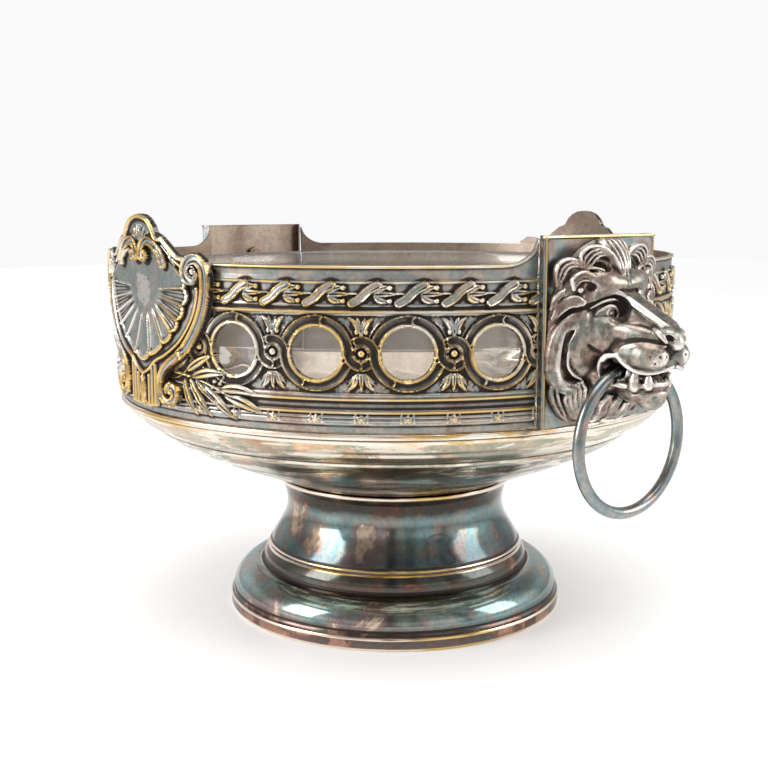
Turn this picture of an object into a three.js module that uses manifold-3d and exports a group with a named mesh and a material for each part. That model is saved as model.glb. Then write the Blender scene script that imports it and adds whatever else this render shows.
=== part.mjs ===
// A two-handled silver-plated punch bowl with a glass liner, in millimetres, +Z up.
// The origin is at the middle of the underside of the foot. +X runs through one lion mask.
//
// From the ground up: a spun foot in two shells, a shallow spun basin, a belt ring, and a wall of
// four pierced quarter panels. Two lion plates and two shell cartouches stand between the panels.
// Each lion holds a ring handle that swings in its mouth. The glass liner lifts straight out.
import * as THREE from "three";
import { mergeVertices } from "three/addons/utils/BufferGeometryUtils.js";
import Module from "manifold-3d";

const wasm = await Module();
wasm.setup();

// ---- driving dimensions -------------------------------------------------------------------
const wallR = 149.4; // outer face of the pierced wall
const sheet = 1.3; // thickness of the plated sheet metal
const gap = 0.3; // clearance between touching pieces
const footR = 93.4;
const neckRingZ = 34;
const basinZ = 72.4; // where the basin sits on the neck
const beltZ = 119; // where the wall sits on the basin
const wallZ = 122.4;
const rimZ = 195.6;
const plateTopZ = 208.2;
const plateX = 151.5; // front face of a lion plate
const plateHalf = 36.3;
const plateBackHalf = 33.8; // the plate's sides splay inwards to the wall
const coveHalf = 49.4; // where the rim starts to rise towards a plate
const holeR = 11.5;
const holeZ = 157.6;
const holeAngles = [20.4, 35.83, 51.26, 66.69]; // degrees from the lion's middle
const rosetteAngles = [28.1, 43.55, 58.97];
const handleAxisX = 171.4;
const handleAxisZ = 149.9;
const handleR = 33.2; // middle of the ring's bar
const handleBar = 2.8; // radius of the ring's bar
const round = 40; // facets round the big spun pieces
const degree = Math.PI / 180;

// ---- helpers ------------------------------------------------------------------------------
const silver = (roughness, color = 0x8d8a85) =>
  new THREE.MeshStandardMaterial({ color, roughness, metalness: 1 });
const finishes = {
  spun: silver(0.22),
  stamped: silver(0.34, 0x77736c),
  cast: silver(0.38, 0x7d766d),
  handle: silver(0.2, 0x7c858a),
  brass: silver(0.35, 0xb08d4a),
  glass: new THREE.MeshStandardMaterial({
    color: 0xe9ecec,
    roughness: 0.05,
    metalness: 0,
    transparent: true,
    opacity: 0.35,
  }),
};

// A closed geometry as a solid that can be cut and joined.
function solid(geometry) {
  const bare = geometry.index ? geometry.toNonIndexed() : geometry.clone();
  for (const name of Object.keys(bare.attributes)) {
    if (name !== "position") bare.deleteAttribute(name);
  }
  const merged = mergeVertices(bare, 1e-3);
  return new wasm.Manifold(
    new wasm.Mesh({
      numProp: 3,
      vertProperties: merged.attributes.position.array,
      triVerts: new Uint32Array(merged.index.array),
    }),
  );
}

function geometryOf(made) {
  const mesh = made.getMesh();
  const geometry = new THREE.BufferGeometry();
  geometry.setAttribute("position", new THREE.BufferAttribute(mesh.vertProperties, 3));
  geometry.setIndex(new THREE.BufferAttribute(mesh.triVerts, 1));
  geometry.computeVertexNormals();
  return geometry;
}

// A profile of [radius, height] pairs turned about Z. It runs up the outside and down the inside.
function turned(profile, facets = round) {
  const points = profile.map(([r, z]) => new THREE.Vector2(r, z));
  const onAxis = profile[0][0] === 0 && profile.at(-1)[0] === 0;
  if (!onAxis) points.push(points[0].clone());
  return new THREE.LatheGeometry(points, facets).rotateX(Math.PI / 2);
}

// An outline in the Y-Z plane pushed along X from x0 to x1.
function prismX(outline, x0, x1) {
  const shape = outline instanceof THREE.Shape ? outline : new THREE.Shape(outline);
  return new THREE.ExtrudeGeometry(shape, {
    depth: x1 - x0,
    bevelEnabled: false,
    curveSegments: 8,
  })
    .applyMatrix4(
      new THREE.Matrix4().makeBasis(
        new THREE.Vector3(0, 1, 0),
        new THREE.Vector3(0, 0, 1),
        new THREE.Vector3(1, 0, 0),
      ),
    )
    .translate(x0, 0, 0);
}

const at = (y, z) => new THREE.Vector2(y, z);

function block(x0, x1, y0, y1, z0, z1) {
  return new THREE.BoxGeometry(x1 - x0, y1 - y0, z1 - z0).translate(
    (x0 + x1) / 2,
    (y0 + y1) / 2,
    (z0 + z1) / 2,
  );
}

// A rod along X.
function rodX(radius, x0, x1, y, z, facets = 12) {
  return new THREE.CylinderGeometry(radius, radius, x1 - x0, facets)
    .rotateZ(-Math.PI / 2)
    .translate((x0 + x1) / 2, y, z);
}

const bowl = new THREE.Group();

function add(name, geometry, finish, turn = 0) {
  const mesh = new THREE.Mesh(geometry, finishes[finish]);
  mesh.name = name;
  mesh.rotation.z = turn;
  bowl.add(mesh);
  return mesh;
}

// ---- foot: a skirt with its rim band, and a waisted neck standing on it ------------------
const skirtOuter = [
  [footR - 5.4, 0],
  [footR, 0],
  [footR, 6.8],
  [footR - 2.4, 8.8],
  [footR - 2.2, 12],
  [88.6, 17.8],
  [84.6, 21.2],
  [80.6, 23],
  [75.4, 23],
  [74.2, 28],
  [71.4, 32.8],
];
const skirtInner = [
  [69.8, 32.6],
  [72.8, 26.4],
  [73.4, 21.6],
  [80.2, 21.6],
  [87.2, 16.6],
  [89.6, 8],
  [footR - 5.4, 2],
];
add("foot_skirt", turned([...skirtOuter, ...skirtInner]), "spun");

const neckOuter = [
  [71.4, neckRingZ - 0.8],
  [71.4, neckRingZ],
  [69.8, neckRingZ + 2],
  [65.8, 44],
  [61.4, 50],
  [59, 57],
  [59.3, 64.5],
  [62.4, 70.8],
  [62.4, basinZ - gap],
];
const neckInner = [
  [52, basinZ - gap],
  [52, 70.4],
  [58.8, 69.6],
  [57.6, 57],
  [60.2, 49.2],
  [64.6, 43.2],
  [69.8, neckRingZ - 0.8],
];
add("foot_neck", turned([...neckOuter, ...neckInner]), "spun");

// ---- basin, with a shoulder that carries the belt ring -----------------------------------
const basinOuter = [
  [4.5, basinZ],
  [62, basinZ],
  [75, 77],
  [104, 88.4],
  [126, 99.8],
  [136, 107.2],
  [146.2, 116.2],
  [148.2, beltZ - gap],
];
const basinInner = [
  [145.6, beltZ - gap],
  [144.8, 117],
  [135.2, 108.4],
  [125.2, 101.2],
  [103.4, 89.8],
  [74.6, 78.5],
  [61.8, basinZ + 1.5],
  [4.5, basinZ + 1.5],
];
add("basin", turned([...basinOuter, ...basinInner]), "spun");

const beltOuter = [
  [144, beltZ],
  [149.2, beltZ],
  [150, (beltZ + wallZ - gap) / 2],
  [149.2, wallZ - gap],
  [144, wallZ - gap],
];
add("belt_ring", turned(beltOuter), "spun");

// ---- wall: four pierced quarter panels between the plates and the cartouches -------------
const wallProfile = [
  [wallR - 0.8, wallZ],
  [wallR + 0.5, 126.4],
  [wallR + 0.5, 131.2],
  [wallR - 0.5, 134.5],
  [wallR + 0.8, 137.6],
  [wallR, 139.2],
  [wallR, 174],
  [wallR + 0.8, 175.8],
  [wallR - 0.3, 178],
  [wallR + 0.6, rimZ],
  [wallR + 0.6, plateTopZ],
  [wallR - sheet, plateTopZ],
  [wallR - sheet, wallZ],
];
const coveRise = plateTopZ - rimZ;

// Everything above the rim, with the rounded hollow that rises to a lion plate on each side.
function overRim(side) {
  const shape = new THREE.Shape();
  shape.moveTo(side * plateBackHalf, plateTopZ - 0.4);
  shape.quadraticCurveTo(side * (plateBackHalf + 2.6), rimZ + 0.6, side * coveHalf, rimZ);
  shape.lineTo(side * 180, rimZ);
  shape.lineTo(side * 180, rimZ + 2 * coveRise);
  shape.lineTo(side * plateBackHalf, rimZ + 2 * coveRise);
  return solid(prismX(shape, -200, 200));
}

function panelWedge(from, to) {
  const reach = 230;
  const wedge = new THREE.Shape([
    at(0, 0),
    at(reach * Math.cos(from), reach * Math.sin(from)),
    at(reach * Math.cos((from + to) / 2) * 1.4, reach * Math.sin((from + to) / 2) * 1.4),
    at(reach * Math.cos(to), reach * Math.sin(to)),
  ]);
  return solid(
    new THREE.ExtrudeGeometry(wedge, { depth: 120, bevelEnabled: false }).translate(0, 0, 110),
  );
}

const wallRing = solid(turned(wallProfile, 64)).subtract(overRim(1)).subtract(overRim(-1));

// One panel runs from the side of a lion plate to the middle of a cartouche. Mirror turns the
// direction of the running ring pattern, so that it keeps one sense all round the bowl.
function panel(quarter) {
  const plateEnd = Math.asin((plateBackHalf + gap) / wallR);
  const seam = Math.asin(gap / 2 / wallR);
  const mirrored = quarter % 2 === 1;
  const start = (quarter * Math.PI) / 2;
  const from = start + (mirrored ? seam : plateEnd);
  const to = start + Math.PI / 2 - (mirrored ? plateEnd : seam);
  let made = wallRing.intersect(panelWedge(from, to));
  const angleOf = (a) => (mirrored ? start + Math.PI / 2 - a * degree : start + a * degree);
  for (const a of holeAngles) {
    const place = (geometry) => solid(geometry.rotateZ(angleOf(a)));
    made = made.add(place(rodX(holeR + 3.4, wallR - 0.9, wallR + 1.1, 0, holeZ, 14)));
    made = made.subtract(place(rodX(holeR, wallR - 6, wallR + 6, 0, holeZ, 14)));
  }
  for (const a of rosetteAngles) {
    const boss = rodX(3.4, wallR - 0.9, wallR + 1, 0, holeZ, 8).rotateZ(angleOf(a));
    made = made.add(solid(boss));
  }
  return geometryOf(made);
}
const quarterNames = ["back_right", "back_left", "front_left", "front_right"];
quarterNames.forEach((name, quarter) => add(`pierced_panel_${name}`, panel(quarter), "stamped"));

// ---- lion plate: a shallow tray whose sides splay back to the wall -----------------------
const plateStudZ = [141, 190];
const plateStudR = 2;

function lionPlate() {
  const back = plateX - 1.2;
  const tray = new THREE.Shape([
    at(plateX, -plateHalf),
    at(plateX, plateHalf),
    at(146.3, plateBackHalf + 0.1),
    at(145.1, plateBackHalf - 1.2),
    at(back, plateHalf - 1.8),
    at(back, -plateHalf + 1.8),
    at(145.1, -plateBackHalf + 1.2),
    at(146.3, -plateBackHalf - 0.1),
  ]);
  let made = solid(
    new THREE.ExtrudeGeometry(tray, { depth: plateTopZ - wallZ, bevelEnabled: false }).translate(
      0,
      0,
      wallZ,
    ),
  );
  const raised = solid(block(plateX - 0.2, plateX + 0.7, -plateHalf, plateHalf, wallZ, plateTopZ));
  const sunk = solid(
    block(plateX, plateX + 2, -plateHalf + 1.4, plateHalf - 1.4, wallZ + 1.4, plateTopZ - 1.4),
  );
  made = made.add(raised.subtract(sunk));
  for (const z of plateStudZ) {
    made = made.subtract(solid(rodX(plateStudR + 0.25, 140, 160, 0, z)));
  }
  return geometryOf(made);
}

// ---- lion head: a round relief raised over the plate, with an open mouth -----------------
const headBase = plateX + 0.3;
const bump = (y, z, cy, cz, ry, rz) =>
  Math.exp(-(((y - cy) / ry) ** 2) - ((z - cz) / rz) ** 2);

// How far the face stands off the plate at a place on it.
function faceHeight(y, z) {
  const side = Math.abs(y);
  const skull = 15 * bump(y, z, 0, 176, 25, 25);
  const muzzle = 34 * Math.exp(-((side / 13.5) ** 4) - ((z - 160.5) / 13.5) ** 4);
  const cheek = 5 * bump(side, z, 18, 162, 8, 8);
  const bridge = 7 * bump(y, z, 0, 174, 8, 9);
  const brow = 3.5 * bump(side, z, 12, 184, 8, 5);
  const eye = -3.5 * bump(side, z, 13, 175.5, 5, 4);
  const forelock = 5 * bump(y, z, 0, 203, 7, 6);
  const mane = 4.5 * Math.exp(-(((Math.hypot(y / 33, (z - 166) / 42) - 0.82) / 0.16) ** 2));
  return skull + muzzle + cheek + bridge + brow + eye + forelock + mane;
}

// The swept space of the ring's bar about its pivot, wider away from the middle.
function swingRoom(reach) {
  const steps = 8;
  const profile = [[0, -reach]];
  for (let i = -steps; i <= steps; i++) {
    const y = (reach * i) / steps;
    const drop = handleR - Math.sqrt(handleR ** 2 - y ** 2);
    profile.push([drop + handleBar + 0.6, y]);
  }
  profile.push([0, reach]);
  const geometry = new THREE.LatheGeometry(
    profile.map(([r, y]) => new THREE.Vector2(r, y)),
    16,
  );
  return solid(geometry.translate(handleAxisX, 0, handleAxisZ));
}

const mouthTop = 153.4;
const mouthBottom = 146.2;

// The outline of the mane, wider at the cheeks and pointed at the beard.
function maneReach(angle) {
  const y = Math.cos(angle);
  const z = Math.sin(angle);
  const reachZ = z > 0 ? 41.2 : 40.6;
  return 1 / Math.hypot(y / 34.2, z / reachZ);
}

function lionHead() {
  const facets = 24;
  const rings = [0.1, 0.2, 0.28, 0.36, 0.45, 0.56, 0.68, 0.8, 0.91, 1];
  const profile = [[0, 1], ...rings.map((r) => [r, 1]), [1, 0], [0, 0]];
  const points = profile.map(([r, z]) => new THREE.Vector2(r, z));
  const geometry = new THREE.LatheGeometry(points, facets);
  const place = geometry.attributes.position;
  const middleZ = 165;
  for (let i = 0; i < place.count; i++) {
    const across = place.getX(i);
    const along = place.getZ(i);
    const top = place.getY(i) > 0.5;
    const angle = Math.atan2(along, across);
    const share = Math.hypot(across, along);
    const reach = share * maneReach(angle);
    const y = reach * Math.cos(angle);
    const z = middleZ + reach * Math.sin(angle);
    place.setXYZ(i, headBase + (top ? 1 + faceHeight(y, z) : 0), y, z);
  }
  let made = solid(geometry);
  made = made.subtract(solid(block(165.4, 215, -30, 30, mouthBottom, mouthTop)));
  made = made.subtract(solid(block(168, 215, -40, 40, 120, mouthBottom + 0.1)));
  made = made.subtract(swingRoom(24));
  for (const z of plateStudZ) {
    made = made.subtract(solid(rodX(plateStudR + 0.15, headBase - 3, headBase + 6, 0, z)));
  }
  return geometryOf(made);
}

// ---- lower jaw: a separate casting that closes the mouth under the ring ------------------
function lionJaw() {
  const chin = new THREE.SphereGeometry(1, 14, 9);
  chin.scale(15.5, 10.8, 10.5).translate(175, 0, 142.6);
  let made = solid(chin);
  made = made.subtract(solid(block(150, 200, -20, 20, mouthBottom + 2.2, 170)));
  made = made.subtract(solid(block(150, 168.3, -20, 20, 120, 170)));
  const tooth = (y) =>
    solid(new THREE.ConeGeometry(1.7, 6.5, 6).rotateX(Math.PI / 2).translate(184.6, y, 149.2));
  made = made.add(tooth(-4.6)).add(tooth(4.6));
  return geometryOf(made.subtract(swingRoom(24)));
}

// ---- ring handle --------------------------------------------------------------------------
function ringHandle() {
  return new THREE.TorusGeometry(handleR, handleBar, 8, 32)
    .rotateY(Math.PI / 2)
    .rotateX(Math.PI / 32)
    .translate(handleAxisX, 0, handleAxisZ - handleR);
}

// ---- studs cast into the back of the head, and the nuts that hold them inside the wall ----
function studGeometry(z) {
  return rodX(plateStudR, plateX - 4.6, headBase + 5.6, 0, z);
}

function nutGeometry(z) {
  const hexagon = rodX(3.9, plateX - 4.2, plateX - 1.5, 0, z, 6);
  return geometryOf(solid(hexagon).subtract(solid(rodX(plateStudR + 0.25, 140, 160, 0, z))));
}

for (const [side, turn] of [
  ["right", 0],
  ["left", Math.PI],
]) {
  add(`lion_plate_${side}`, lionPlate(), "stamped", turn);
  add(`lion_head_${side}`, lionHead(), "cast", turn);
  add(`lion_jaw_${side}`, lionJaw(), "cast", turn);
  add(`ring_handle_${side}`, ringHandle(), "handle", turn);
  plateStudZ.forEach((z, i) => {
    const place = i ? "upper" : "lower";
    add(`mask_stud_${side}_${place}`, studGeometry(z), "brass", turn);
    add(`mask_nut_${side}_${place}`, nutGeometry(z), "brass", turn);
  });
}

// ---- shell cartouche: an outline cut from a curved plate, with a raised edge and a fan ----
const cartoucheR = wallR + 1.3;

// The right half of the outline, top to bottom: crown, shoulder scroll, side, foot scroll, drop.
const crown = [
  [0, 217.4],
  [7, 216.4],
  [12.4, 212.6],
  [16.6, 207.6],
  [27, 201.4],
];
const sideScroll = [
  [36, 197.6],
  [44, 199.2],
  [50, 195],
  [51.4, 187.6],
  [50.4, 177],
  [44.6, 164.6],
  [36.4, 156],
  [29.4, 151.6],
];
const footScroll = [
  [22.6, 147.4],
  [20.4, 141.8],
  [28, 140.4],
  [30.6, 134.6],
  [27.4, 129.2],
  [19.6, 128.6],
  [14.6, 133],
  [13.4, 139],
];
const drop = [
  [7, 136.6],
  [4, 126.4],
  [0, 124.8],
];

function cartoucheOutline() {
  const right = [...crown, ...sideScroll, ...footScroll, ...drop].map(([y, z]) => at(y, z));
  const left = right.slice(1, -1).reverse().map((p) => at(-p.x, p.y));
  return new THREE.Shape([...right, ...left]);
}

function curvedPlate(outline, r0, r1) {
  const ring = solid(turned([[r0, 120], [r1, 120], [r1, 220], [r0, 220]], 64));
  return ring.intersect(solid(prismX(outline, 120, 180)));
}

function cartouche() {
  let made = curvedPlate(cartoucheOutline(), cartoucheR, cartoucheR + 1.6);
  const rib = (angle, focusZ, length, thin, thick, out) =>
    solid(
      new THREE.CylinderGeometry(thin, thick, length, 6)
        .translate(0, -length / 2, 0)
        .rotateX(Math.PI / 2 + angle)
        .translate(cartoucheR + out - 2.6 * Math.sin(angle) ** 2, 0, focusZ),
    );
  for (let i = -4; i <= 4; i++) {
    made = made.add(rib(i * 0.33, 184, 35 - 1.2 * Math.abs(i), 1.2, 3.6, 1.5));
  }
  const boss = (radius, y, z, out) =>
    solid(rodX(radius, cartoucheR, cartoucheR + out, 0, z, 10).rotateZ(Math.asin(y / cartoucheR)));
  for (const side of [-1, 1]) {
    made = made.add(boss(5, side * 42.4, 190.6, 3.6));
    made = made.add(boss(3.6, side * 24.2, 134.8, 3.2));
    made = made.add(boss(3.2, side * 6, 200, 3.4));
  }
  const inside = turned([[100, 110], [cartoucheR, 110], [cartoucheR, 230], [100, 230]], 64);
  return geometryOf(made.subtract(solid(inside)));
}
add("shell_cartouche_front", cartouche(), "cast", -Math.PI / 2);
add("shell_cartouche_back", cartouche(), "cast", Math.PI / 2);

// ---- fixing of the foot: a bolt through the basin, a bridge across the neck, washer, nut --
const boltR = 4;
const boltHead = [
  [0, 46],
  [boltR, 46],
  [boltR, basinZ + 1.8],
  [11, basinZ + 1.8],
  [10, basinZ + 3.6],
  [6, basinZ + 4.8],
  [0, basinZ + 5.2],
];
add("foot_bolt", turned(boltHead, 16), "brass");

// A post standing on the axis with the bolt's clearance hole through it.
function holed(geometry) {
  const hole = new THREE.CylinderGeometry(boltR + 0.4, boltR + 0.4, 60, 16);
  return geometryOf(solid(geometry).subtract(solid(hole.rotateX(Math.PI / 2).translate(0, 0, 60))));
}
const post = (radius, z0, z1, facets) => turned([[0, z0], [radius, z0], [radius, z1], [0, z1]], facets);
add("foot_bridge", holed(block(-54, 54, -10, 10, 66, 69)), "brass");
add("foot_washer", holed(post(12, 64, 65.7, 16)), "brass");
add("foot_nut", holed(post(8.5, 57, 63.7, 6)), "brass");

// ---- glass liner --------------------------------------------------------------------------
const linerOuter = [
  [0, 82.4],
  [70, 82.4],
  [90, 86],
  [117, 97.6],
  [133, 109.6],
  [139, 121],
  [141.2, 140],
  [141.6, 186],
  [142.6, 189],
  [141.4, 191],
];
const linerInner = [
  [138.4, 191],
  [136.8, 186],
  [136.2, 140],
  [133.2, 125],
  [124, 111],
  [102, 98.6],
  [68, 90.4],
  [0, 90.4],
];
add("glass_liner", turned([...linerOuter, ...linerInner]), "glass");

export default bowl;
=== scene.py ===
import bmesh
import bpy
import numpy as np
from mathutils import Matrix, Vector
from mathutils.geometry import delaunay_2d_cdt


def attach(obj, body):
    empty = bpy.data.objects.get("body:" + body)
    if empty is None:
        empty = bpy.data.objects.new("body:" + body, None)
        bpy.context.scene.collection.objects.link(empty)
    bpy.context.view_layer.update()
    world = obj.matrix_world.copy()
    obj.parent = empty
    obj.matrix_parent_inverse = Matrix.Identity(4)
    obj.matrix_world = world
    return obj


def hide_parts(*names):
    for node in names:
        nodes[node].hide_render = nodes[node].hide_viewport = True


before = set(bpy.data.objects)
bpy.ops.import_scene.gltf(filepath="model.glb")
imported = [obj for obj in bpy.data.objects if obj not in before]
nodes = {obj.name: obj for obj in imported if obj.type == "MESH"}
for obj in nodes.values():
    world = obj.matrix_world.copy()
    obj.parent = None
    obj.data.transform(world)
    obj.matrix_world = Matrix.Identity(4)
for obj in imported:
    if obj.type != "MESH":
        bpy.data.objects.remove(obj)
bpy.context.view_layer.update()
print("frame loaded:", len(nodes), "nodes")

studio = {
    "cameraPlace": (0.5112, -0.3997, 0.2221),
    "lookFlat": (-0.7878, 0.6159),  # level part of the line of sight
    "lookDown": 0.154,  # radians
    "lens": 54.69,
    "shift": -0.0138,
    "floorSize": 7.0,
    # soft boxes: name, place, width, height, watts
    "boxes": [
        ("leftBox", (-0.45, -1.5, 0.8), 0.7, 1.1, 15),
        ("rightBox", (1.3, 1.15, 0.85), 0.8, 1.1, 9),
        ("topBox", (0.2, 0.0, 1.9), 1.5, 1.5, 12),
    ],
    # screens round the room: share of a turn from -180 degrees, brightness
    "screens": [
        (0.0, 1.0), (0.1, 0.6), (0.16, 1.5), (0.25, 1.3), (0.29, 0.7), (0.345, 0.85), (0.36, 1.05),
        (0.385, 0.15), (0.41, 0.95), (0.44, 0.5), (0.46, 1.15), (0.52, 1.2), (0.535, 0.4), (0.56, 1.3),
        (0.68, 1.4), (0.74, 0.6), (0.9, 0.9),
    ],
}


def placeCamera():
    # the camera looks along the level line of sight, dipped by lookDown
    c, s = np.cos(studio["lookDown"]), np.sin(studio["lookDown"])
    look = Vector((studio["lookFlat"][0] * c, studio["lookFlat"][1] * c, -s))
    data = bpy.data.cameras.new("viewCamera")
    data.lens = studio["lens"]
    data.shift_x = studio["shift"]
    camera = bpy.data.objects.new("viewCamera", data)
    bpy.context.scene.collection.objects.link(camera)
    camera.location = studio["cameraPlace"]
    camera.rotation_euler = look.to_track_quat("-Z", "Y").to_euler()
    bpy.context.scene.camera = camera


placeCamera()
bpy.context.scene.view_settings.view_transform = "Standard"


def buildMesh(name, points, faces, values=None, crease=38.0, merge=0.0):
    # points in millimetres; faces is a list of whole-number arrays, one row for each face
    mesh = bpy.data.meshes.new(name)
    mesh.vertices.add(len(points))
    mesh.vertices.foreach_set("co", (np.asarray(points) * 0.001).astype(np.float32).ravel())
    sizes = np.concatenate([np.full(len(f), f.shape[1], np.int32) for f in faces])
    corners = np.concatenate([np.asarray(f, np.int32).ravel() for f in faces])
    mesh.loops.add(len(corners))
    mesh.loops.foreach_set("vertex_index", corners)
    mesh.polygons.add(len(sizes))
    mesh.polygons.foreach_set("loop_start", np.cumsum(sizes) - sizes)
    mesh.update(calc_edges=True)
    for key, value in (values or {}).items():
        layer = mesh.attributes.new(key, "FLOAT", "POINT")
        layer.data.foreach_set("value", np.asarray(value, np.float32))
    if merge:
        work = bmesh.new()
        work.from_mesh(mesh)
        bmesh.ops.remove_doubles(work, verts=work.verts, dist=merge * 0.001)
        work.to_mesh(mesh)
        work.free()
    mesh.validate()
    mesh.polygons.foreach_set("use_smooth", np.ones(len(mesh.polygons), bool))
    mesh.set_sharp_from_angle(angle=np.radians(crease))
    obj = bpy.data.objects.new(name, mesh)
    bpy.context.scene.collection.objects.link(obj)
    return obj


def smoothStep(x, low=0.0, high=1.0):
    # rises from 0 at low to 1 at high as 3x^2 - 2x^3
    t = np.clip((x - low) / (high - low), 0, 1)
    return t * t * (3 - 2 * t)


def curve(points, count):
    # Catmull-Rom curve through the points, sampled count times
    p = np.asarray(points, float)
    p = np.vstack([2 * p[0] - p[1], p, 2 * p[-1] - p[-2]])
    t = np.linspace(0, len(p) - 3 - 1e-9, count)
    i = t.astype(int)
    u = (t - i)[:, None]
    a, b, c, d = p[i], p[i + 1], p[i + 2], p[i + 3]
    return 0.5 * (2 * b + (c - a) * u + (2 * a - 5 * b + 4 * c - d) * u**2 + (3 * b - a - 3 * c + d) * u**3)


def evenProfile(points, step, rounding, closed=True):
    # the same outline with points about a step apart, its corners eased by averaging neighbours
    p = np.asarray(points, float)
    if closed:
        p = np.vstack([p, p[:1]])
    run = np.concatenate([[0], np.cumsum(np.hypot(*np.diff(p, axis=0).T))])
    count = int(run[-1] / step)
    t = np.linspace(0, run[-1], count, endpoint=not closed)
    q = np.column_stack([np.interp(t, run, p[:, k]) for k in (0, 1)])
    for _ in range(rounding):
        soft = (np.roll(q, 1, 0) + 2 * q + np.roll(q, -1, 0)) / 4
        if not closed:
            soft[[0, -1]] = q[[0, -1]]
        q = soft
    return q


def profileWear(q, reach=3):
    # turning of the outline at each point: outward corners wear bright, inward corners hold dirt
    ahead, behind = np.roll(q, -reach, 0) - q, q - np.roll(q, reach, 0)
    turn = behind[:, 0] * ahead[:, 1] - behind[:, 1] * ahead[:, 0]
    turn /= np.hypot(*ahead.T) * np.hypot(*behind.T) + 1e-9
    return np.clip(turn * 1.6, 0, 1), np.clip(-turn * 1.6, 0, 1)


def spunPiece(name, outline, step=0.55, turns=300, rounding=2, closed=True, ripple=None):
    # an outline of (radius, height) turned about Z; the outline runs up the outside
    q = evenProfile(outline, step, rounding, closed)
    wear, dirt = profileWear(q)
    angle = np.linspace(0, 2 * np.pi, turns, endpoint=False)
    radius = q[:, 0][:, None] * np.ones(turns)
    height = q[:, 1][:, None] * np.ones(turns)
    if ripple is not None:
        radius = radius + ripple(angle[None, :], q)
    points = np.stack([radius * np.cos(angle), radius * np.sin(angle), height], -1).reshape(-1, 3)
    rows = np.arange(len(q) if closed else len(q) - 1)
    a = (rows[:, None] * turns + np.arange(turns)).ravel()
    b = (rows[:, None] * turns + (np.arange(turns) + 1) % turns).ravel()
    up = (((rows[:, None] + 1) % len(q)) * turns + np.arange(turns)).ravel()
    upb = (((rows[:, None] + 1) % len(q)) * turns + (np.arange(turns) + 1) % turns).ravel()
    quads = np.column_stack([a, b, upb, up])
    ahead = np.roll(q, -1, 0) - np.roll(q, 1, 0)
    inside = ((ahead[:, 1] < 0) & (ahead[:, 0] < -0.2 * np.hypot(*ahead.T))).astype(float)
    values = {
        "wear": np.repeat(wear, turns), "dirt": np.repeat(dirt, turns), "inner": np.repeat(inside, turns)
    }
    return buildMesh(name, points, [quads], values, merge=0.0 if closed else 0.01)


def newMaterial(name):
    # a material with an empty node tree
    material = bpy.data.materials.new(name)
    material.use_nodes = True
    tree = material.node_tree
    tree.nodes.clear()
    return material, tree


def addNode(tree, kind, inputs=None, **settings):
    # one node; each input is a socket to link or a plain value
    node = tree.nodes.new(kind)
    for key, value in settings.items():
        setattr(node, key, value)
    for key, value in (inputs or {}).items():
        socket = node.inputs[key]
        if isinstance(value, bpy.types.NodeSocket):
            tree.links.new(value, socket)
        else:
            socket.default_value = value
    return node


def ramp(tree, source, stops, smooth=True):
    # a colour for each value of the source, blended between the stops
    node = addNode(tree, "ShaderNodeValToRGB", {0: source})
    node.color_ramp.interpolation = "EASE" if smooth else "LINEAR"
    elements = node.color_ramp.elements
    while len(elements) < len(stops):
        elements.new(0.5)
    for element, (place, colour) in zip(elements, stops):
        element.position = place
        element.color = (*colour, 1) if len(colour) == 3 else colour
    return node.outputs[0]


def mixColour(tree, share, first, second, mode="MIX"):
    # blend of two colours, each a socket or three numbers
    node = addNode(tree, "ShaderNodeMix", data_type="RGBA", blend_type=mode)
    for key, value in ((0, share), (6, first), (7, second)):
        if isinstance(value, bpy.types.NodeSocket):
            tree.links.new(value, node.inputs[key])
        elif key == 0:
            node.inputs[key].default_value = value
        else:
            node.inputs[key].default_value = (*value, 1)
    return node.outputs[2]


def maths(tree, operation, first, second=0.0, clamp=False):
    # one sum on two sockets or numbers
    return addNode(
        tree, "ShaderNodeMath", {0: first, 1: second}, operation=operation, use_clamp=clamp
    ).outputs[0]


# the three sums that the materials use most
def plus(tree, first, second, clamp=False):
    return maths(tree, "ADD", first, second, clamp)


def minus(tree, first, second, clamp=False):
    return maths(tree, "SUBTRACT", first, second, clamp)


def times(tree, first, second, clamp=False):
    return maths(tree, "MULTIPLY", first, second, clamp)


def noise(tree, place, scale, detail=4.0, rough=0.55, warp=0.0, stretch=None):
    # fractal noise from 0 to 1, stretched along an axis where asked
    if stretch:
        place = addNode(tree, "ShaderNodeMapping", {"Vector": place, "Scale": stretch}).outputs[0]
    node = addNode(
        tree,
        "ShaderNodeTexNoise",
        {"Vector": place, "Scale": scale, "Detail": detail, "Roughness": rough, "Distortion": warp},
    )
    return node.outputs[0]


def attribute(tree, name):
    # a value stored with the points of the mesh
    return addNode(tree, "ShaderNodeAttribute", attribute_name=name).outputs["Fac"]


def blackToWhite(low, high):
    # stops of a ramp from 0 at low to 1 at high
    return [(low, (0, 0, 0)), (high, (1, 1, 1))]


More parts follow.
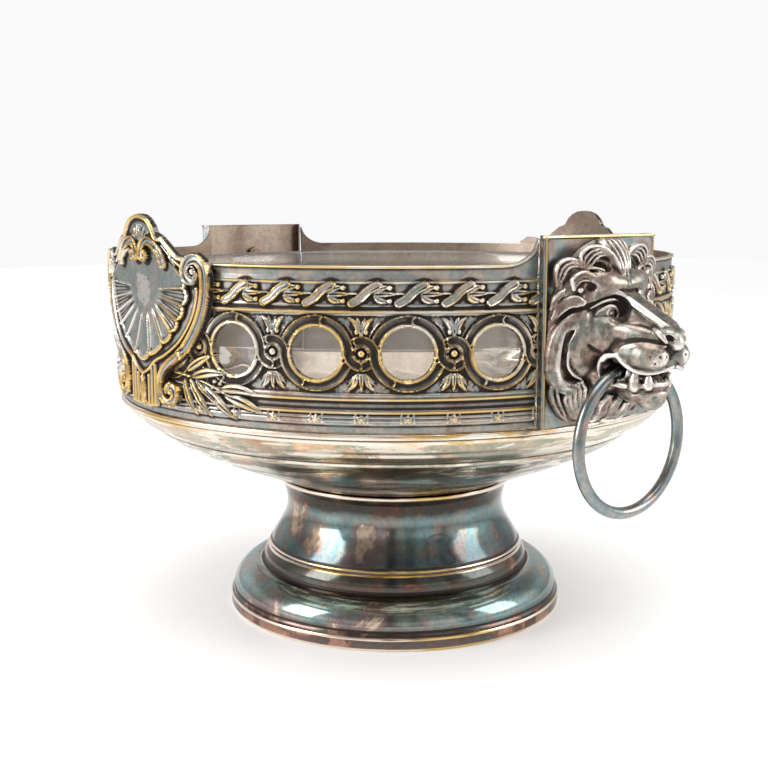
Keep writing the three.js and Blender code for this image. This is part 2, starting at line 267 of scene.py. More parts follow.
def tarnishColour(tree, place, look, inner, speckle):
    # patches of colour, darker or lighter with height, and fine freckles over all
    broad = noise(tree, place, look["patch"], 5, 0.6, look["warp"])
    middle = noise(tree, place, look["patch"] * 3.4, 6, 0.62, look["warp"])
    patches = plus(tree, times(tree, broad, 0.68), times(tree, middle, 0.32))
    colour = ramp(tree, patches, look["colours"])
    if look["tarnishAndReflectionBands"]:
        # painted reflection and painted shade in bands by height, each band tinted like the tarnish, with a
        # wavering edge
        height = addNode(tree, "ShaderNodeSeparateXYZ", {0: place}).outputs[2]
        waver = times(tree, minus(tree, middle, 0.5), 0.03)
        height = plus(tree, times(tree, height, 4.0), waver)
        tarnishAndReflectionTone = ramp(tree, height, [(z * 0.004, shade) for z, shade in look["tarnishAndReflectionBands"]], False)
        colour = mixColour(tree, 1.0, colour, tarnishAndReflectionTone, "MULTIPLY")
    # the side turned to the glass has its own even tone
    cloud = noise(tree, place, 16, 5, 0.6)
    colour = mixColour(tree, inner, colour, ramp(tree, cloud, look["inside"]))
    freckle = ramp(tree, speckle, [(0.36, (0.62, 0.6, 0.58)), (0.56, (1, 1, 1))])
    return mixColour(tree, look["freckle"], colour, freckle, "MULTIPLY")


def addWear(tree, place, look, colour, patchy):
    # high places show bright metal, brassy in patches; the wear breaks up along its edge
    wear = attribute(tree, "wear")
    ragged = times(tree, minus(tree, patchy, 0.5), look["wearBreak"])
    worn = times(tree, plus(tree, wear, ragged), wear)
    worn = ramp(tree, worn, blackToWhite(look["wearFrom"], look["wearFull"]))
    brassNoise = noise(tree, place, look["brassPatch"], 4, 0.6)
    brassShare = ramp(tree, brassNoise, blackToWhite(look["brassFrom"], look["brassFrom"] + 0.12))
    wornColour = mixColour(tree, brassShare, look["bright"], look["brass"])
    return mixColour(tree, worn, colour, wornColour)


def addRubs(tree, place, look, colour, inner, speckle):
    # bare bright places where the tarnish has been rubbed off
    rubs = noise(tree, place, look["rubScale"], 7, 0.68, 0.6, look["rubStretch"])
    bare = times(tree, attribute(tree, "bare"), minus(tree, times(tree, speckle, 1.1), 0.22))
    rubs = plus(tree, rubs, bare)
    rubbed = ramp(tree, rubs, blackToWhite(look["rubFrom"], look["rubFrom"] + 0.05))
    rubbed = times(tree, rubbed, minus(tree, 1.0, inner))
    return mixColour(tree, rubbed, colour, look["rubColour"])


def tarnishedSilver(name, look):
    # plate over brass: patchy tarnish colours, dark dirt in the hollows, bright and brassy wear
    # on the high places, fine scratches in the gloss
    material, tree = newMaterial(name)
    place = addNode(tree, "ShaderNodeTexCoord").outputs["Object"]
    inner = attribute(tree, "inner")
    speckle = noise(tree, place, 420, 5, 0.7)
    patchy = noise(tree, place, 55, 6, 0.65)
    colour = tarnishColour(tree, place, look, inner, speckle)
    colour = addWear(tree, place, look, colour, patchy)
    colour = addRubs(tree, place, look, colour, inner, speckle)
    held = plus(tree, 0.55, times(tree, patchy, 0.9))
    grime = times(tree, attribute(tree, "dirt"), held, True)
    grimeShare = ramp(tree, grime, blackToWhite(look["dirtFrom"], look["dirtFull"]))
    colour = mixColour(tree, grimeShare, colour, look["grime"])
    # gloss: scratches run round the piece and a finer haze lies over all
    haze = noise(tree, place, 90, 6, 0.7)
    scratch = noise(tree, place, 260, 3, 0.6, 0.2, (1, 1, 9))
    rough = plus(tree, look["rough"], times(tree, haze, look["roughSpread"]))
    rough = plus(tree, rough, times(tree, scratch, look["scratch"]))
    rough = plus(tree, rough, times(tree, grimeShare, 0.32), True)
    metal = minus(tree, 1.0, times(tree, grimeShare, 0.35), True)
    # fine marks, then slow waves in the sheet
    marks = plus(tree, times(tree, scratch, 0.35), times(tree, speckle, 0.65))
    fine = {"Strength": look["bump"], "Distance": 0.0002, "Height": marks}
    bent = addNode(tree, "ShaderNodeBump", fine).outputs[0]
    wave = noise(tree, place, 26, 2, 0.5)
    slow = {"Strength": look["dent"], "Distance": 0.004, "Height": wave, "Normal": bent}
    bent = addNode(tree, "ShaderNodeBump", slow).outputs[0]
    shader = addNode(
        tree,
        "ShaderNodeBsdfPrincipled",
        {"Base Color": colour, "Metallic": metal, "Roughness": rough, "Normal": bent},
    )
    addNode(tree, "ShaderNodeOutputMaterial", {"Surface": shader.outputs[0]})
    return material


# tarnish runs from bare silver through brown and purple to steel blue and teal
smoke = (0.16, 0.14, 0.135)
teal = (0.17, 0.29, 0.28)
plum = (0.2, 0.125, 0.135)
copper = (0.56, 0.33, 0.24)
paleSilver = (0.74, 0.7, 0.66)
brass = (0.72, 0.5, 0.2)

plainLook = {
    "patch": 13.0,
    "warp": 1.2,
    "tarnishAndReflectionBands": None,  # (height in millimetres, multiplier): painted reflection and painted shade by height, tinted like the tarnish
    "colours": [(0.3, plum), (0.38, smoke), (0.45, teal), (0.51, smoke), (0.57, plum), (0.63, copper)],
    "inside": [(0.34, (0.3, 0.22, 0.18)), (0.5, (0.5, 0.41, 0.33)), (0.66, (0.62, 0.46, 0.34))],
    "freckle": 0.5,
    "wearBreak": 0.7,
    "wearFrom": 0.16,
    "wearFull": 0.42,
    "bright": (0.88, 0.76, 0.66),
    "brass": brass,
    "brassPatch": 14.0,
    "brassFrom": 0.5,
    "rubScale": 30.0,
    "rubStretch": (1, 1, 2.5),
    "rubFrom": 0.66,
    "rubColour": paleSilver,
    "grime": (0.035, 0.026, 0.022),
    "dirtFrom": 0.16,
    "dirtFull": 0.6,
    "rough": 0.03,
    "roughSpread": 0.12,
    "scratch": 0.08,
    "bump": 0.06,
    "dent": 0.05,
}
footMetal = tarnishedSilver(
    "footMetal",
    plainLook
    | {
        "patch": 10.0,
        "colours": [
            (0.37, (0.62, 0.4, 0.29)), (0.41, (0.24, 0.17, 0.15)), (0.46, (0.15, 0.2, 0.21)),
            (0.52, (0.2, 0.2, 0.185)), (0.565, (0.25, 0.17, 0.17)), (0.6, (0.62, 0.42, 0.33)),
        ],
        # painted reflection and painted shade by height on the dome and neck, tinted like the tarnish
        "tarnishAndReflectionBands": [
            (0, (0.95, 0.85, 0.82)), (8, (0.6, 0.5, 0.46)), (12, (1.25, 1.4, 1.36)),
            (19, (1.6, 1.85, 1.78)), (23.6, (1.3, 1.4, 1.35)), (24.4, (0.55, 0.44, 0.38)),
            (33, (0.6, 0.5, 0.44)), (38, (0.62, 0.66, 0.7)), (50, (0.95, 1.1, 1.08)),
            (58, (1.1, 1.25, 1.2)), (60.5, (0.85, 0.8, 0.74)), (62, (0.42, 0.33, 0.28)),
            (68, (0.5, 0.38, 0.32)), (71, (1.3, 1.1, 0.95)),
        ],
        "dirtFrom": 0.2,
        "rubFrom": 0.74,
        "rubStretch": (1, 1, 3),
    },
)
basinMetal = tarnishedSilver(
    "basinMetal",
    plainLook
    | {
        "patch": 15.0,
        "colours": [
            (0.32, (0.3, 0.22, 0.17)), (0.4, (0.3, 0.26, 0.22)), (0.47, (0.34, 0.33, 0.29)),
            (0.53, (0.24, 0.28, 0.27)), (0.59, (0.4, 0.34, 0.28)), (0.66, (0.56, 0.42, 0.32)),
        ],
        # painted shade on the underside and painted reflection of the pale floor on the upper zone, tinted
        # like the tarnish
        "tarnishAndReflectionBands": [
            (73, (0.5, 0.43, 0.38)), (88, (0.62, 0.58, 0.5)), (101, (0.8, 0.7, 0.6)),
            (103.6, (1.9, 1.75, 1.5)), (109, (1.5, 1.3, 1.1)), (112, (2.0, 1.75, 1.45)),
            (117, (1.8, 1.5, 1.2)), (119, (2.3, 1.7, 0.85)),
        ],
        "inside": [(0.34, (0.55, 0.48, 0.4)), (0.5, (0.68, 0.61, 0.53)), (0.66, (0.78, 0.71, 0.62))],
        "rubScale": 30.0,
        "rubStretch": (1, 1, 6),
        "rubFrom": 0.5,
        "rubColour": (0.92, 0.85, 0.73),
        "rough": 0.1,
    },
)
reliefMetal = tarnishedSilver(
    "reliefMetal",
    plainLook
    | {
        "patch": 20.0,
        "colours": [
            (0.34, (0.36, 0.28, 0.23)), (0.43, (0.5, 0.45, 0.4)), (0.5, (0.38, 0.41, 0.4)),
            (0.57, (0.58, 0.5, 0.43)), (0.66, (0.4, 0.3, 0.26)),
        ],
        "wearFrom": 0.12,
        "wearFull": 0.42,
        "bright": (0.94, 0.87, 0.77),
        "brass": (0.86, 0.6, 0.24),
        "brassFrom": 0.4,
        "rough": 0.2,
        "dirtFrom": 0.1,
        "dirtFull": 0.5,
        "bump": 0.12,
    },
)
plainBrass = tarnishedSilver(
    "plainBrass",
    plainLook
    | {
        "patch": 40.0,
        "colours": [
            (0.34, (0.3, 0.17, 0.06)), (0.46, (0.52, 0.34, 0.12)), (0.56, (0.62, 0.42, 0.17)),
            (0.68, (0.36, 0.2, 0.1))
        ],
        "rubColour": (0.8, 0.6, 0.3),
        "rough": 0.2,
        "bump": 0.1,
    },
)
brownBrass = tarnishedSilver(
    "brownBrass",
    plainLook
    | {
        "patch": 40.0,
        "colours": [(0.36, (0.2, 0.14, 0.1)), (0.5, (0.34, 0.25, 0.18)), (0.64, (0.44, 0.31, 0.21))],
        "rubFrom": 0.8,
        "rough": 0.3,
    },
)
print("metals ready")


def swept(count, *points):
    # a smooth stretch of an outline through a few points
    return [tuple(p) for p in curve(points, count)]


footShape = {
    "skirt": [
        (88, 0), (93.0, 0), (93.4, 0.8), (93.4, 6.2), (93.0, 7.0), (92.0, 7.4), (91.8, 8.6), (91.0, 9.0),
        *swept(
            26, (91.1, 9.8), (91.2, 12), (90.2, 15.2), (88.0, 18.4), (84.6, 21.2), (80.6, 23.0),
            (76.6, 23.4)
        ),
        (74.8, 23.2), *swept(10, (74.6, 24.5), (74.2, 28), (72.6, 31.2), (71.6, 32.6)),
        (70.0, 32.6), (72.8, 26.4), (73.4, 21.6), (80.2, 21.6), (87.2, 16.6), (89.6, 8), (88, 2),
    ],
    "neck": [
        (71.2, 33.2), (71.6, 33.6), (71.4, 34.4), (70.2, 34.8),
        *swept(
            40, (69.6, 36.5), (67.6, 40.2), (65.2, 44.2), (62.8, 48.6), (61.4, 53.2), (61.0, 58),
            (61.6, 62.6), (62.8, 66.6)
        ),
        (63.5, 68), (65.2, 70.0), (65.7, 71.0), (65.5, 71.8), (52, 72.0), (52, 70.4), (60.8, 69.6),
        (58.8, 57), (60.2, 49.2), (64.6, 43.2), (69.8, 33.2),
    ],
    "basin": [
        (4.5, 72.4), (64.2, 72.4), (65.8, 72.8), (67, 73.6),
        *swept(40, (68.6, 74.4), (75, 76.8), (90, 82.6), (104, 88.4), (117, 94.6), (126, 99.8)),
        (130, 102.6), (131.2, 103.4), (131.4, 104.5),
        *swept(14, (133, 105.5), (136, 107.2), (139.4, 109.4)), (140.2, 110.6),
        *swept(10, (143, 112.6), (146.5, 116.2), (148.0, 118.5)),
        (145.6, 118.7), (144.8, 117), (135.2, 108.4), (125.2, 101.2), (103.4, 89.8), (74.6, 78.5),
        (61.8, 73.9), (4.5, 73.9),
    ],
    "belt": [
        (144.2, 119.0), (148.9, 119.0), (149.7, 119.6), (149.9, 120.6), (149.6, 121.6), (148.8, 122.1),
        (144.2, 122.1),
    ],
}


def finishPiece(obj, material, body, slot, *replaced):
    # metal, the body that carries the piece, its slot (not used) and the nodes that it stands in for
    obj.data.materials.clear()
    obj.data.materials.append(material)
    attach(obj, body)
    if replaced:
        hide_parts(*replaced)
    return obj


finishPiece(
    spunPiece("footSkirt", footShape["skirt"], 0.5, 240, 2), footMetal, "bowl", "spun_silver", "foot_skirt"
)
finishPiece(
    spunPiece("footNeck", footShape["neck"], 0.6, 220, 2), footMetal, "bowl", "spun_silver", "foot_neck"
)
finishPiece(
    spunPiece("basinBody", footShape["basin"], 0.8, 210, 1), basinMetal, "bowl", "spun_silver", "basin"
)
finishPiece(
    spunPiece("beltRing", footShape["belt"], 0.25, 420, 1), basinMetal, "bowl", "worn_brass", "belt_ring"
)
print("foot and basin turned")


def makeField(low, high, step):
    # an even grid over (s, z) with a height at each point
    s = np.arange(low[0], high[0] + step, step)
    z = np.arange(low[1], high[1] + step, step)
    return {"s": s, "z": z, "step": step, "height": np.zeros((len(s), len(z)))}


def window(field, points, reach):
    # the part of the grid within reach of some points
    p = np.atleast_2d(points)
    lo, hi = p.min(0) - reach, p.max(0) + reach
    i = np.searchsorted(field["s"], [lo[0], hi[0]])
    j = np.searchsorted(field["z"], [lo[1], hi[1]])
    cells = (slice(*i), slice(*j))
    return cells, field["s"][cells[0]][:, None], field["z"][cells[1]][None, :]


def pathDistance(s, z, path):
    # distance from each grid point to a path, the share of the path at the nearest point, and
    # the side it lies on
    best = np.full(np.broadcast(s, z).shape, 1e9)
    share, side = np.zeros_like(best), np.zeros_like(best)
    run = np.concatenate([[0], np.cumsum(np.hypot(*np.diff(path, axis=0).T))])
    for a, b, r0, r1 in zip(path[:-1], path[1:], run[:-1], run[1:]):
        d = b - a
        t = np.clip(((s - a[0]) * d[0] + (z - a[1]) * d[1]) / (d @ d + 1e-12), 0, 1)
        off = np.hypot(s - a[0] - t * d[0], z - a[1] - t * d[1])
        near = off < best
        best = np.where(near, off, best)
        share = np.where(near, (r0 + t * (r1 - r0)) / run[-1], share)
        side = np.where(near, np.sign(d[0] * (z - a[1]) - d[1] * (s - a[0])), side)
    return best, share, side


# sections of a strip, over t, the share of its half-width from its middle line
def grooved(t):
    # a strap: a bell-shaped raised edge on each side of a flat trough
    edge = 0.2 + 0.8 * np.exp(-(((t - 0.78) / 0.17) ** 2))
    return np.where(t < 1, edge, 0) * np.clip((1.06 - t) / 0.12, 0, 1)


def domed(t):
    # half-round: the square root of 1 - t^2
    return np.sqrt(np.clip(1 - t * t, 0, 1))


def leafed(t):
    # a leaf: half-round, with a narrow bell taken out for a sunk midrib
    return np.sqrt(np.clip(1 - t * t, 0, 1)) * (1 - 0.45 * np.exp(-((t / 0.22) ** 2)))


def rolled(t):
    # a flat band with a bell-shaped bead along each edge and a low one in the middle
    beads = 0.5 * np.exp(-(((t - 0.8) / 0.2) ** 2)) + 0.18 * np.exp(-((t / 0.3) ** 2))
    return np.clip((1.04 - t) / 0.1, 0, 1) * (0.5 + beads)


def lay(field, path, width, high, section=domed, over=False, base=0.0, taper=None, count=0):
    # a strip along a path whose section has half-width width; over hides what it crosses
    path = curve(path, count) if count else np.asarray(path, float)
    cells, s, z = window(field, path, np.max(width) + 1.0)
    off, share, _ = pathDistance(s, z, path)
    half = width * (taper(share) if taper else 1.0)
    t = off / np.maximum(half, 1e-3)
    new = base + high * section(t) * (np.clip(half / np.max(width), 0, 1) ** 0.5)
    old = field["height"][cells]
    inside = t < 1
    field["height"][cells] = np.where(inside, new if over else np.maximum(old, new), old)


def bump(field, s0, z0, high, rs, rz=None, turn=0.0, base=0.0, over=False):
    # an oval boss
    rz = rz or rs
    cells, s, z = window(field, [(s0, z0)], max(rs, rz))
    c, n = np.cos(turn), np.sin(turn)
    a, b = (s - s0) * c + (z - z0) * n, -(s - s0) * n + (z - z0) * c
    new = base + high * np.sqrt(np.clip(1 - (a / rs) ** 2 - (b / rz) ** 2, 0, 1))
    inside = (a / rs) ** 2 + (b / rz) ** 2 < 1
    old = field["height"][cells]
    field["height"][cells] = np.where(inside, new if over else np.maximum(old, new), old)


def leafShape(share):
    # a leaf's width along its length: narrow stem, full middle, pointed tip
    return np.sin(np.pi * np.clip(share, 0, 1) ** 0.8) ** 0.8 * 0.92 + 0.08


def fadeOut(share):
    # a width that falls evenly to two fifths at the far end
    return 1 - 0.6 * share


def blurred(height, cells, rounds=2):
    # running mean over a square, repeated
    for _ in range(rounds):
        for axis in (0, 1):
            padded = np.pad(
                height, [(cells + 1, cells) if k == axis else (0, 0) for k in (0, 1)], mode="edge"
            )
            total = np.cumsum(padded, axis=axis)
            n = height.shape[axis]
            upper = np.take(total, np.arange(2 * cells + 1, 2 * cells + 1 + n), axis=axis)
            lower = np.take(total, np.arange(n), axis=axis)
            height = (upper - lower) / (2 * cells + 1)
    return height


def outlineDistance(field, outline):
    # distance to a closed outline, above zero inside it
    s, z = field["s"][:, None], field["z"][None, :]
    closed = np.vstack([outline, outline[:1]])
    off, _, _ = pathDistance(s, z, closed)
    inside = np.zeros(off.shape, bool)
    for (s0, z0), (s1, z1) in zip(closed[:-1], closed[1:]):
        if z0 != z1:
            crossing = (z0 > z) != (z1 > z)
            inside ^= crossing & (s < s0 + (z - z0) * (s1 - s0) / (z1 - z0))
    return np.where(inside, off, -off)


def onCylinder(radius, turn):
    # puts arc distance s, height z and distance out on an upright cylinder, turned about Z
    def place(s, z, out):
        angle = s / radius + turn
        r = radius + out
        return np.column_stack([r * np.cos(angle), r * np.sin(angle), z])

    return place


def backSheet(field, depth, rimFlat, rimIndex, backStep):
    # the back of a plate: the outline's points and a coarse grid inside it, joined by Delaunay
    # triangles; returns the points, the triangles and the two ends of each outline edge
    def nearest(values, axis):
        return np.clip(
            ((values - field[axis][0]) / field["step"]).round().astype(int), 0, len(field[axis]) - 1
        )

    bs, bz = np.meshgrid(
        np.arange(field["s"][0], field["s"][-1], backStep),
        np.arange(field["z"][0], field["z"][-1], backStep), indexing="ij"
    )
    si = nearest(bs, "s")
    zi = nearest(bz, "z")
    well = depth[si, zi] > 1.6
    inner = np.column_stack([bs[well], bz[well]])
    flatBack = np.vstack([rimFlat, inner])
    made = delaunay_2d_cdt(
        [Vector(p) for p in flatBack], [tuple(int(v) for v in e) for e in rimIndex], [], 0, 1e-5
    )
    backFlat = np.array([v[:] for v in made[0]])
    backTris = np.array([f for f in made[2] if len(f) == 3])
    turned = {int(i): k for k, o in enumerate(made[3]) for i in o}
    ends = np.array([[turned[int(a)], turned[int(b)]] for a, b in rimIndex])
    size = len(backFlat)
    forward = ends[:, 0] * size + ends[:, 1]
    backward = ends[:, 1] * size + ends[:, 0]
    edges = [backTris[:, k] * size + backTris[:, (k + 1) % 3] for k in range(3)]
    isIn = np.isin(edges[0], forward) | np.isin(edges[1], forward) | np.isin(edges[2], forward)
    isOut = np.isin(edges[0], backward) | np.isin(edges[1], backward) | np.isin(edges[2], backward)
    middle = backFlat[backTris].mean(1)
    mi = nearest(middle[:, 0], "s")
    mj = nearest(middle[:, 1], "z")
    backTris = backTris[isIn | (~isOut & (depth[mi, mj] > 0))]
    return backFlat, backTris, ends


def reliefPlate(name, field, depth, place, thickness, backStep=5.0, crease=40.0):
    # depth: distance inside the plate's outline at each grid point. Points close to the outline
    # are moved on to it, the front takes the field's height, and the back is a coarser sheet
    # thickness behind. place(s, z, out) puts a point of the sheet into space.
    step = field["step"]
    gs, gz = np.gradient(depth, step)
    slope = np.maximum(gs**2 + gz**2, 0.3)
    snap = 0.56 * step
    near = np.abs(depth) < snap
    s = field["s"][:, None] - np.where(near, depth * gs / slope, 0)
    z = field["z"][None, :] - np.where(near, depth * gz / slope, 0)
    keep = depth > -snap
    number = np.arange(s.size).reshape(s.shape)
    corner = [number[:-1, :-1], number[1:, :-1], number[1:, 1:], number[:-1, 1:]]
    held = [keep[:-1, :-1], keep[1:, :-1], keep[1:, 1:], keep[:-1, 1:]]
    total = sum(h.astype(int) for h in held)
    inside = depth > 0
    deep = inside[:-1, :-1] | inside[1:, :-1] | inside[1:, 1:] | inside[:-1, 1:]
    quads = np.stack([c[(total == 4) & deep] for c in corner], -1)
    tris = [
        np.stack([corner[k][(total == 3) & deep & ~held[m]] for k in range(4) if k != m], -1)
        for m in range(4)
    ]
    tris = np.concatenate(tris)
    used = np.unique(np.concatenate([quads.ravel(), tris.ravel()]))
    order = np.full(s.size, -1)
    order[used] = np.arange(len(used))
    quads, tris = order[quads], order[tris]
    flat = np.column_stack([s.ravel()[used], z.ravel()[used]])
    high = field["height"].ravel()[used]
    # the edges used by one face only are the outline
    ways = np.concatenate(
        [np.roll(quads, -k, 1)[:, :2] for k in range(4)] + [np.roll(tris, -k, 1)[:, :2] for k in range(3)]
    )
    code = ways[:, 0] * len(used) + ways[:, 1]
    rim = ways[~np.isin(code, ways[:, 1] * len(used) + ways[:, 0])]
    rimPoints, rimIndex = np.unique(rim, return_inverse=True)
    rimIndex = rimIndex.reshape(-1, 2)
    backFlat, backTris, ends = backSheet(field, depth, flat[rimPoints], rimIndex, backStep)
    size = len(backFlat)
    first = len(used)
    front = place(flat[:, 0], flat[:, 1], high)
    back = place(backFlat[:, 0], backFlat[:, 1], np.full(size, -thickness))
    walls = np.column_stack([rim[:, 1], rim[:, 0], first + ends[:, 0], first + ends[:, 1]])
    ground = blurred(field["height"], max(1, int(round(1.4 / step))))
    proud = (field["height"] - ground).ravel()[used]
    bare = (field["height"] * 0 + field.get("bare", 0)).ravel()[used]
    values = {
        "wear": np.concatenate([np.clip(proud / 0.62, 0, 1), np.zeros(size)]),
        "dirt": np.concatenate([np.clip(-proud / 0.55, 0, 1), np.full(size, 0.1)]),
        "inner": np.concatenate([np.zeros(len(used)), np.ones(size)]),
        "bare": np.concatenate([bare, np.zeros(size)]),
    }
    points = np.vstack([front, back])
    tris = np.vstack([tris, backTris[:, ::-1] + first])
    return buildMesh(name, points, [quads, walls, tris], values, crease, merge=0.004)


wall = {
    "radius": 149.4,
    "low": 122.7,
    "rim": 195.6,
    "crest": 207.7,  # top of the sweep up to a lion plate
    "sweep": (50.4, 34.4),  # arc distance from the lion where the sweep starts and ends
    "seam": 234.5,
    "firstHole": 53.2,  # arc distance from the lion's middle
    "holeZ": 157.6,
    "holeR": 11.5,
    "band": 14.55,  # radius of the strap's middle line round a hole
    "bandHalf": 2.35,
    "pitch": 40.23,  # arc distance between holes
    "count": 5,  # the last hole stands behind the cartouche
    "step": 0.41,
    # (height, distance out) of the plain mouldings
    "section": [
        (122, -0.8), (125.6, -0.7), (126.3, 0.3), (126.8, 0.45), (130.9, 0.45), (131.2, 1.1),
        (132.2, 1.15), (132.7, 0.2), (133.6, -0.5), (136.2, -0.5), (136.7, 0.4), (137.1, 1.2),
        (138.0, 1.2), (138.4, 0.2), (139.0, 0.75), (139.7, 0.75), (140.2, 0.0), (173.8, 0.0),
        (174.2, 0.5), (174.7, 0.5), (175.0, 1.15), (176.2, 1.2), (176.7, 0.1), (177.6, -0.3),
        (178.2, 0.35), (178.8, 0.35), (179.1, -0.15), (187.6, -0.15), (188.0, 0.5), (188.7, 0.55),
        (189.2, -0.25), (191.5, -0.42), (194.2, 0.0), (196, 0.3), (209, 0.3),
    ],
}


def holeAt(k):
    # arc distance of a hole's middle from the lion's middle
    return wall["firstHole"] + k * wall["pitch"]


def arc(s0, z0, radius, start, end, count=26):
    # points of a circle's arc from one angle to another, in degrees
    t = np.radians(np.linspace(start, end, count))
    return np.column_stack([s0 + radius * np.cos(t), z0 + radius * np.sin(t)])


def drawGuilloche(field):
    # straps that run over one hole, hook round the boss and run under the next hole
    half, hook, z = wall["pitch"] / 2, wall["pitch"] / 2 - wall["band"], wall["holeZ"]
    centres = [-holeAt(k) for k in (*range(wall["count"]), -1)]

    def over(c, first, last):
        return np.vstack([arc(c, z, wall["band"], first, 0), arc(c + half, z, hook, 180, last)[1:]])

    def under(c, first, last):
        return np.vstack([arc(c - half, z, hook, first, 0), arc(c, z, wall["band"], 180, last)[1:]])

    drop = {"width": wall["bandHalf"], "high": 1.7, "section": grooved, "over": True}
    for c in centres:
        lay(field, over(c, 160, 345), **drop)
    for c in centres:
        lay(field, under(c, 165, 338), **drop)
    for c in centres:
        lay(field, over(c, 75, 255), **drop)
        lay(field, under(c, 105, 240), **drop)
    for c in centres:
        lay(field, arc(c, z, wall["holeR"] + 0.55, 0, 360, 60), 0.65, 1.5)  # bright lip of the hole
        lay(field, arc(c + half, z, 2.9, 200, 520, 30), 0.42, 1.15)
        bump(field, c + half, z, 2.2, 1.75)


def drawPalmettes(field):
    # leaves above and below each boss between two holes: the half-width of a leaf is its most
    # times the leaf shape at each share of its path
    for k in range(wall["count"]):
        c = wall["pitch"] / 2 - holeAt(k)
        z = wall["holeZ"]
        for side in (-1, 1):
            # above the boss: a pair of leaves that open upwards, with a bud under each
            lay(
                field,
                [
                    (c + side * 0.7, z + 8.4), (c + side * 1.6, z + 11.5), (c + side * 3.4, z + 14.2),
                    (c + side * 5.4, z + 15.6)
                ],
                1.45, 1.5, leafed, taper=leafShape, count=14
            )
            lay(
                field, [(c + side * 0.5, z + 9.6), (c + side * 0.9, z + 13), (c + side * 1.9, z + 15.9)],
                1.1, 1.35, leafed, taper=leafShape, count=10
            )
            bump(field, c + side * 2.1, z + 9.3, 1.5, 1.0, 1.35)
            # below the boss: a spread acanthus
            lay(
                field,
                [
                    (c + side * 0.5, z - 8.3), (c + side * 2.2, z - 10.2), (c + side * 3.0, z - 13.2),
                    (c + side * 5.6, z - 16.4)
                ],
                1.5, 1.6, leafed, taper=leafShape, count=14
            )
            lay(
                field, [(c + side * 0.9, z - 9.2), (c + side * 3.6, z - 10.8), (c + side * 5.8, z - 14.0)],
                1.0, 1.1, leafed, taper=leafShape, count=12
            )
            # thin line that frames the spandrel
            lay(
                field, arc(c + side * wall["pitch"] / 2, z, 18.1, 90 + side * 42, 90 + side * 68, 12), 0.35,
                0.5
            )
        lay(field, [(c, z - 8.2), (c, z - 12), (c, z - 16.4)], 1.3, 1.8, leafed, taper=leafShape, count=8)
        bump(field, c, z + 8.6, 1.3, 1.1)


def drawLaurel(field):
    # a ribbon wound round a stem, with a sprig of leaves and two berries in each gap
    z, gap = 183.4, wall["pitch"] / 2
    lay(field, [(-236, z), (-30, z)], 0.45, 0.8)
    for k in range(11):
        c = 2.0 - holeAt(0) - (k - 1) * gap
        for berry in (1.9, -2.1):
            lay(
                field, [(c + 3.6, z), (c + 6.4, z + berry * 0.75), (c + 9.6, z + berry * 1.25)], 0.5, 1.0,
                count=8
            )
            bump(field, c + 10.3, z + berry * 1.4, 2.0, 1.3)
            lay(
                field,
                [(c + 3.4, z + berry * 0.2), (c + 6.0, z + berry * 1.2), (c + 10.2, z + berry * 1.7)], 1.75,
                1.9, leafed, taper=leafShape, count=8
            )
        lay(
            field, [(c + 4.2, z), (c + 8.4, z), (c + 13.4, z + 0.1)], 1.45, 1.8, leafed, taper=leafShape,
            count=6
        )
        lay(
            field, [(c - 6.0, z - 3.9), (c - 2.4, z - 1.9), (c + 1.2, z + 1.6), (c + 5.2, z + 3.8)], 2.0,
            2.0, rolled, over=True, count=12
        )
        for rib in (-0.5, 0.0, 0.5):
            lay(
                field, [(c + rib * 4 - 0.9, z - 0.6 + rib * 4.6), (c + rib * 4 + 0.9, z + 0.2 + rib * 4.6)],
                0.3, 1.35
            )


def drawReeds(field):
    # rods bound by small flowers
    for z in (128.0, 129.7):
        lay(field, [(-236, z), (-30, z)], 0.75, 0.5, base=0.45)
    for k in range(11):
        c = 20.1 - holeAt(0) - k * wall["pitch"] / 2
        for turn in range(5):
            a = turn * 2 * np.pi / 5 + 0.3
            bump(field, c + 1.25 * np.cos(a), 128.9 + 1.25 * np.sin(a), 0.75, 0.85, base=0.7)
        bump(field, c, 128.9, 0.9, 0.75, base=0.85)
        for side in (-1, 1):
            lay(field, [(c + side * 2.7, 127.1), (c + side * 2.7, 130.7)], 0.42, 0.75, base=0.45)


spray = {
    # leaves as (foot, tip, half-width), measured from the cartouche's middle
    "leaves": [
        ((32, 145.5), (48.5, 154), 2.5), ((35, 143), (57, 146), 2.7), ((30.5, 142), (38.3, 125.4), 2.4),
        ((34.5, 142.3), (47.5, 125.6), 2.5), ((41, 141), (61.5, 125.6), 2.8),
        ((55, 136), (75.6, 129.6), 2.9), ((53, 139), (73.2, 137.8), 2.8), ((38, 142), (52, 131), 1.9),
    ],
    "berries": [(50, 142.2), (53.2, 141.4), (49, 139.4), (45.5, 138.2)],
    "stem": [(24.5, 144.5), (33, 143.5), (43, 141.6), (54.5, 137.4), (64, 132.6)],
}


def drawSpray(field):
    # a sprig beside the cartouche: a stem, pointed leaves and round berries, laid over the straps
    # u is the arc distance from the middle of the cartouche
    def at(u, z):
        return (u - np.pi / 2 * wall["radius"], z)

    lay(field, [at(*p) for p in spray["stem"]], 1.0, 2.3, domed, count=20, taper=fadeOut)
    for foot, tip, half in spray["leaves"]:
        mid = (
            (foot[0] + tip[0]) / 2 + 0.1 * (tip[1] - foot[1]),
            (foot[1] + tip[1]) / 2 + 0.06 * (tip[0] - foot[0])
        )
        lay(field, [at(*foot), at(*mid), at(*tip)], half, 2.6, leafed, over=True, taper=leafShape, count=14)
    for u, z in spray["berries"]:
        bump(field, *at(u, z), 2.3, 1.1)


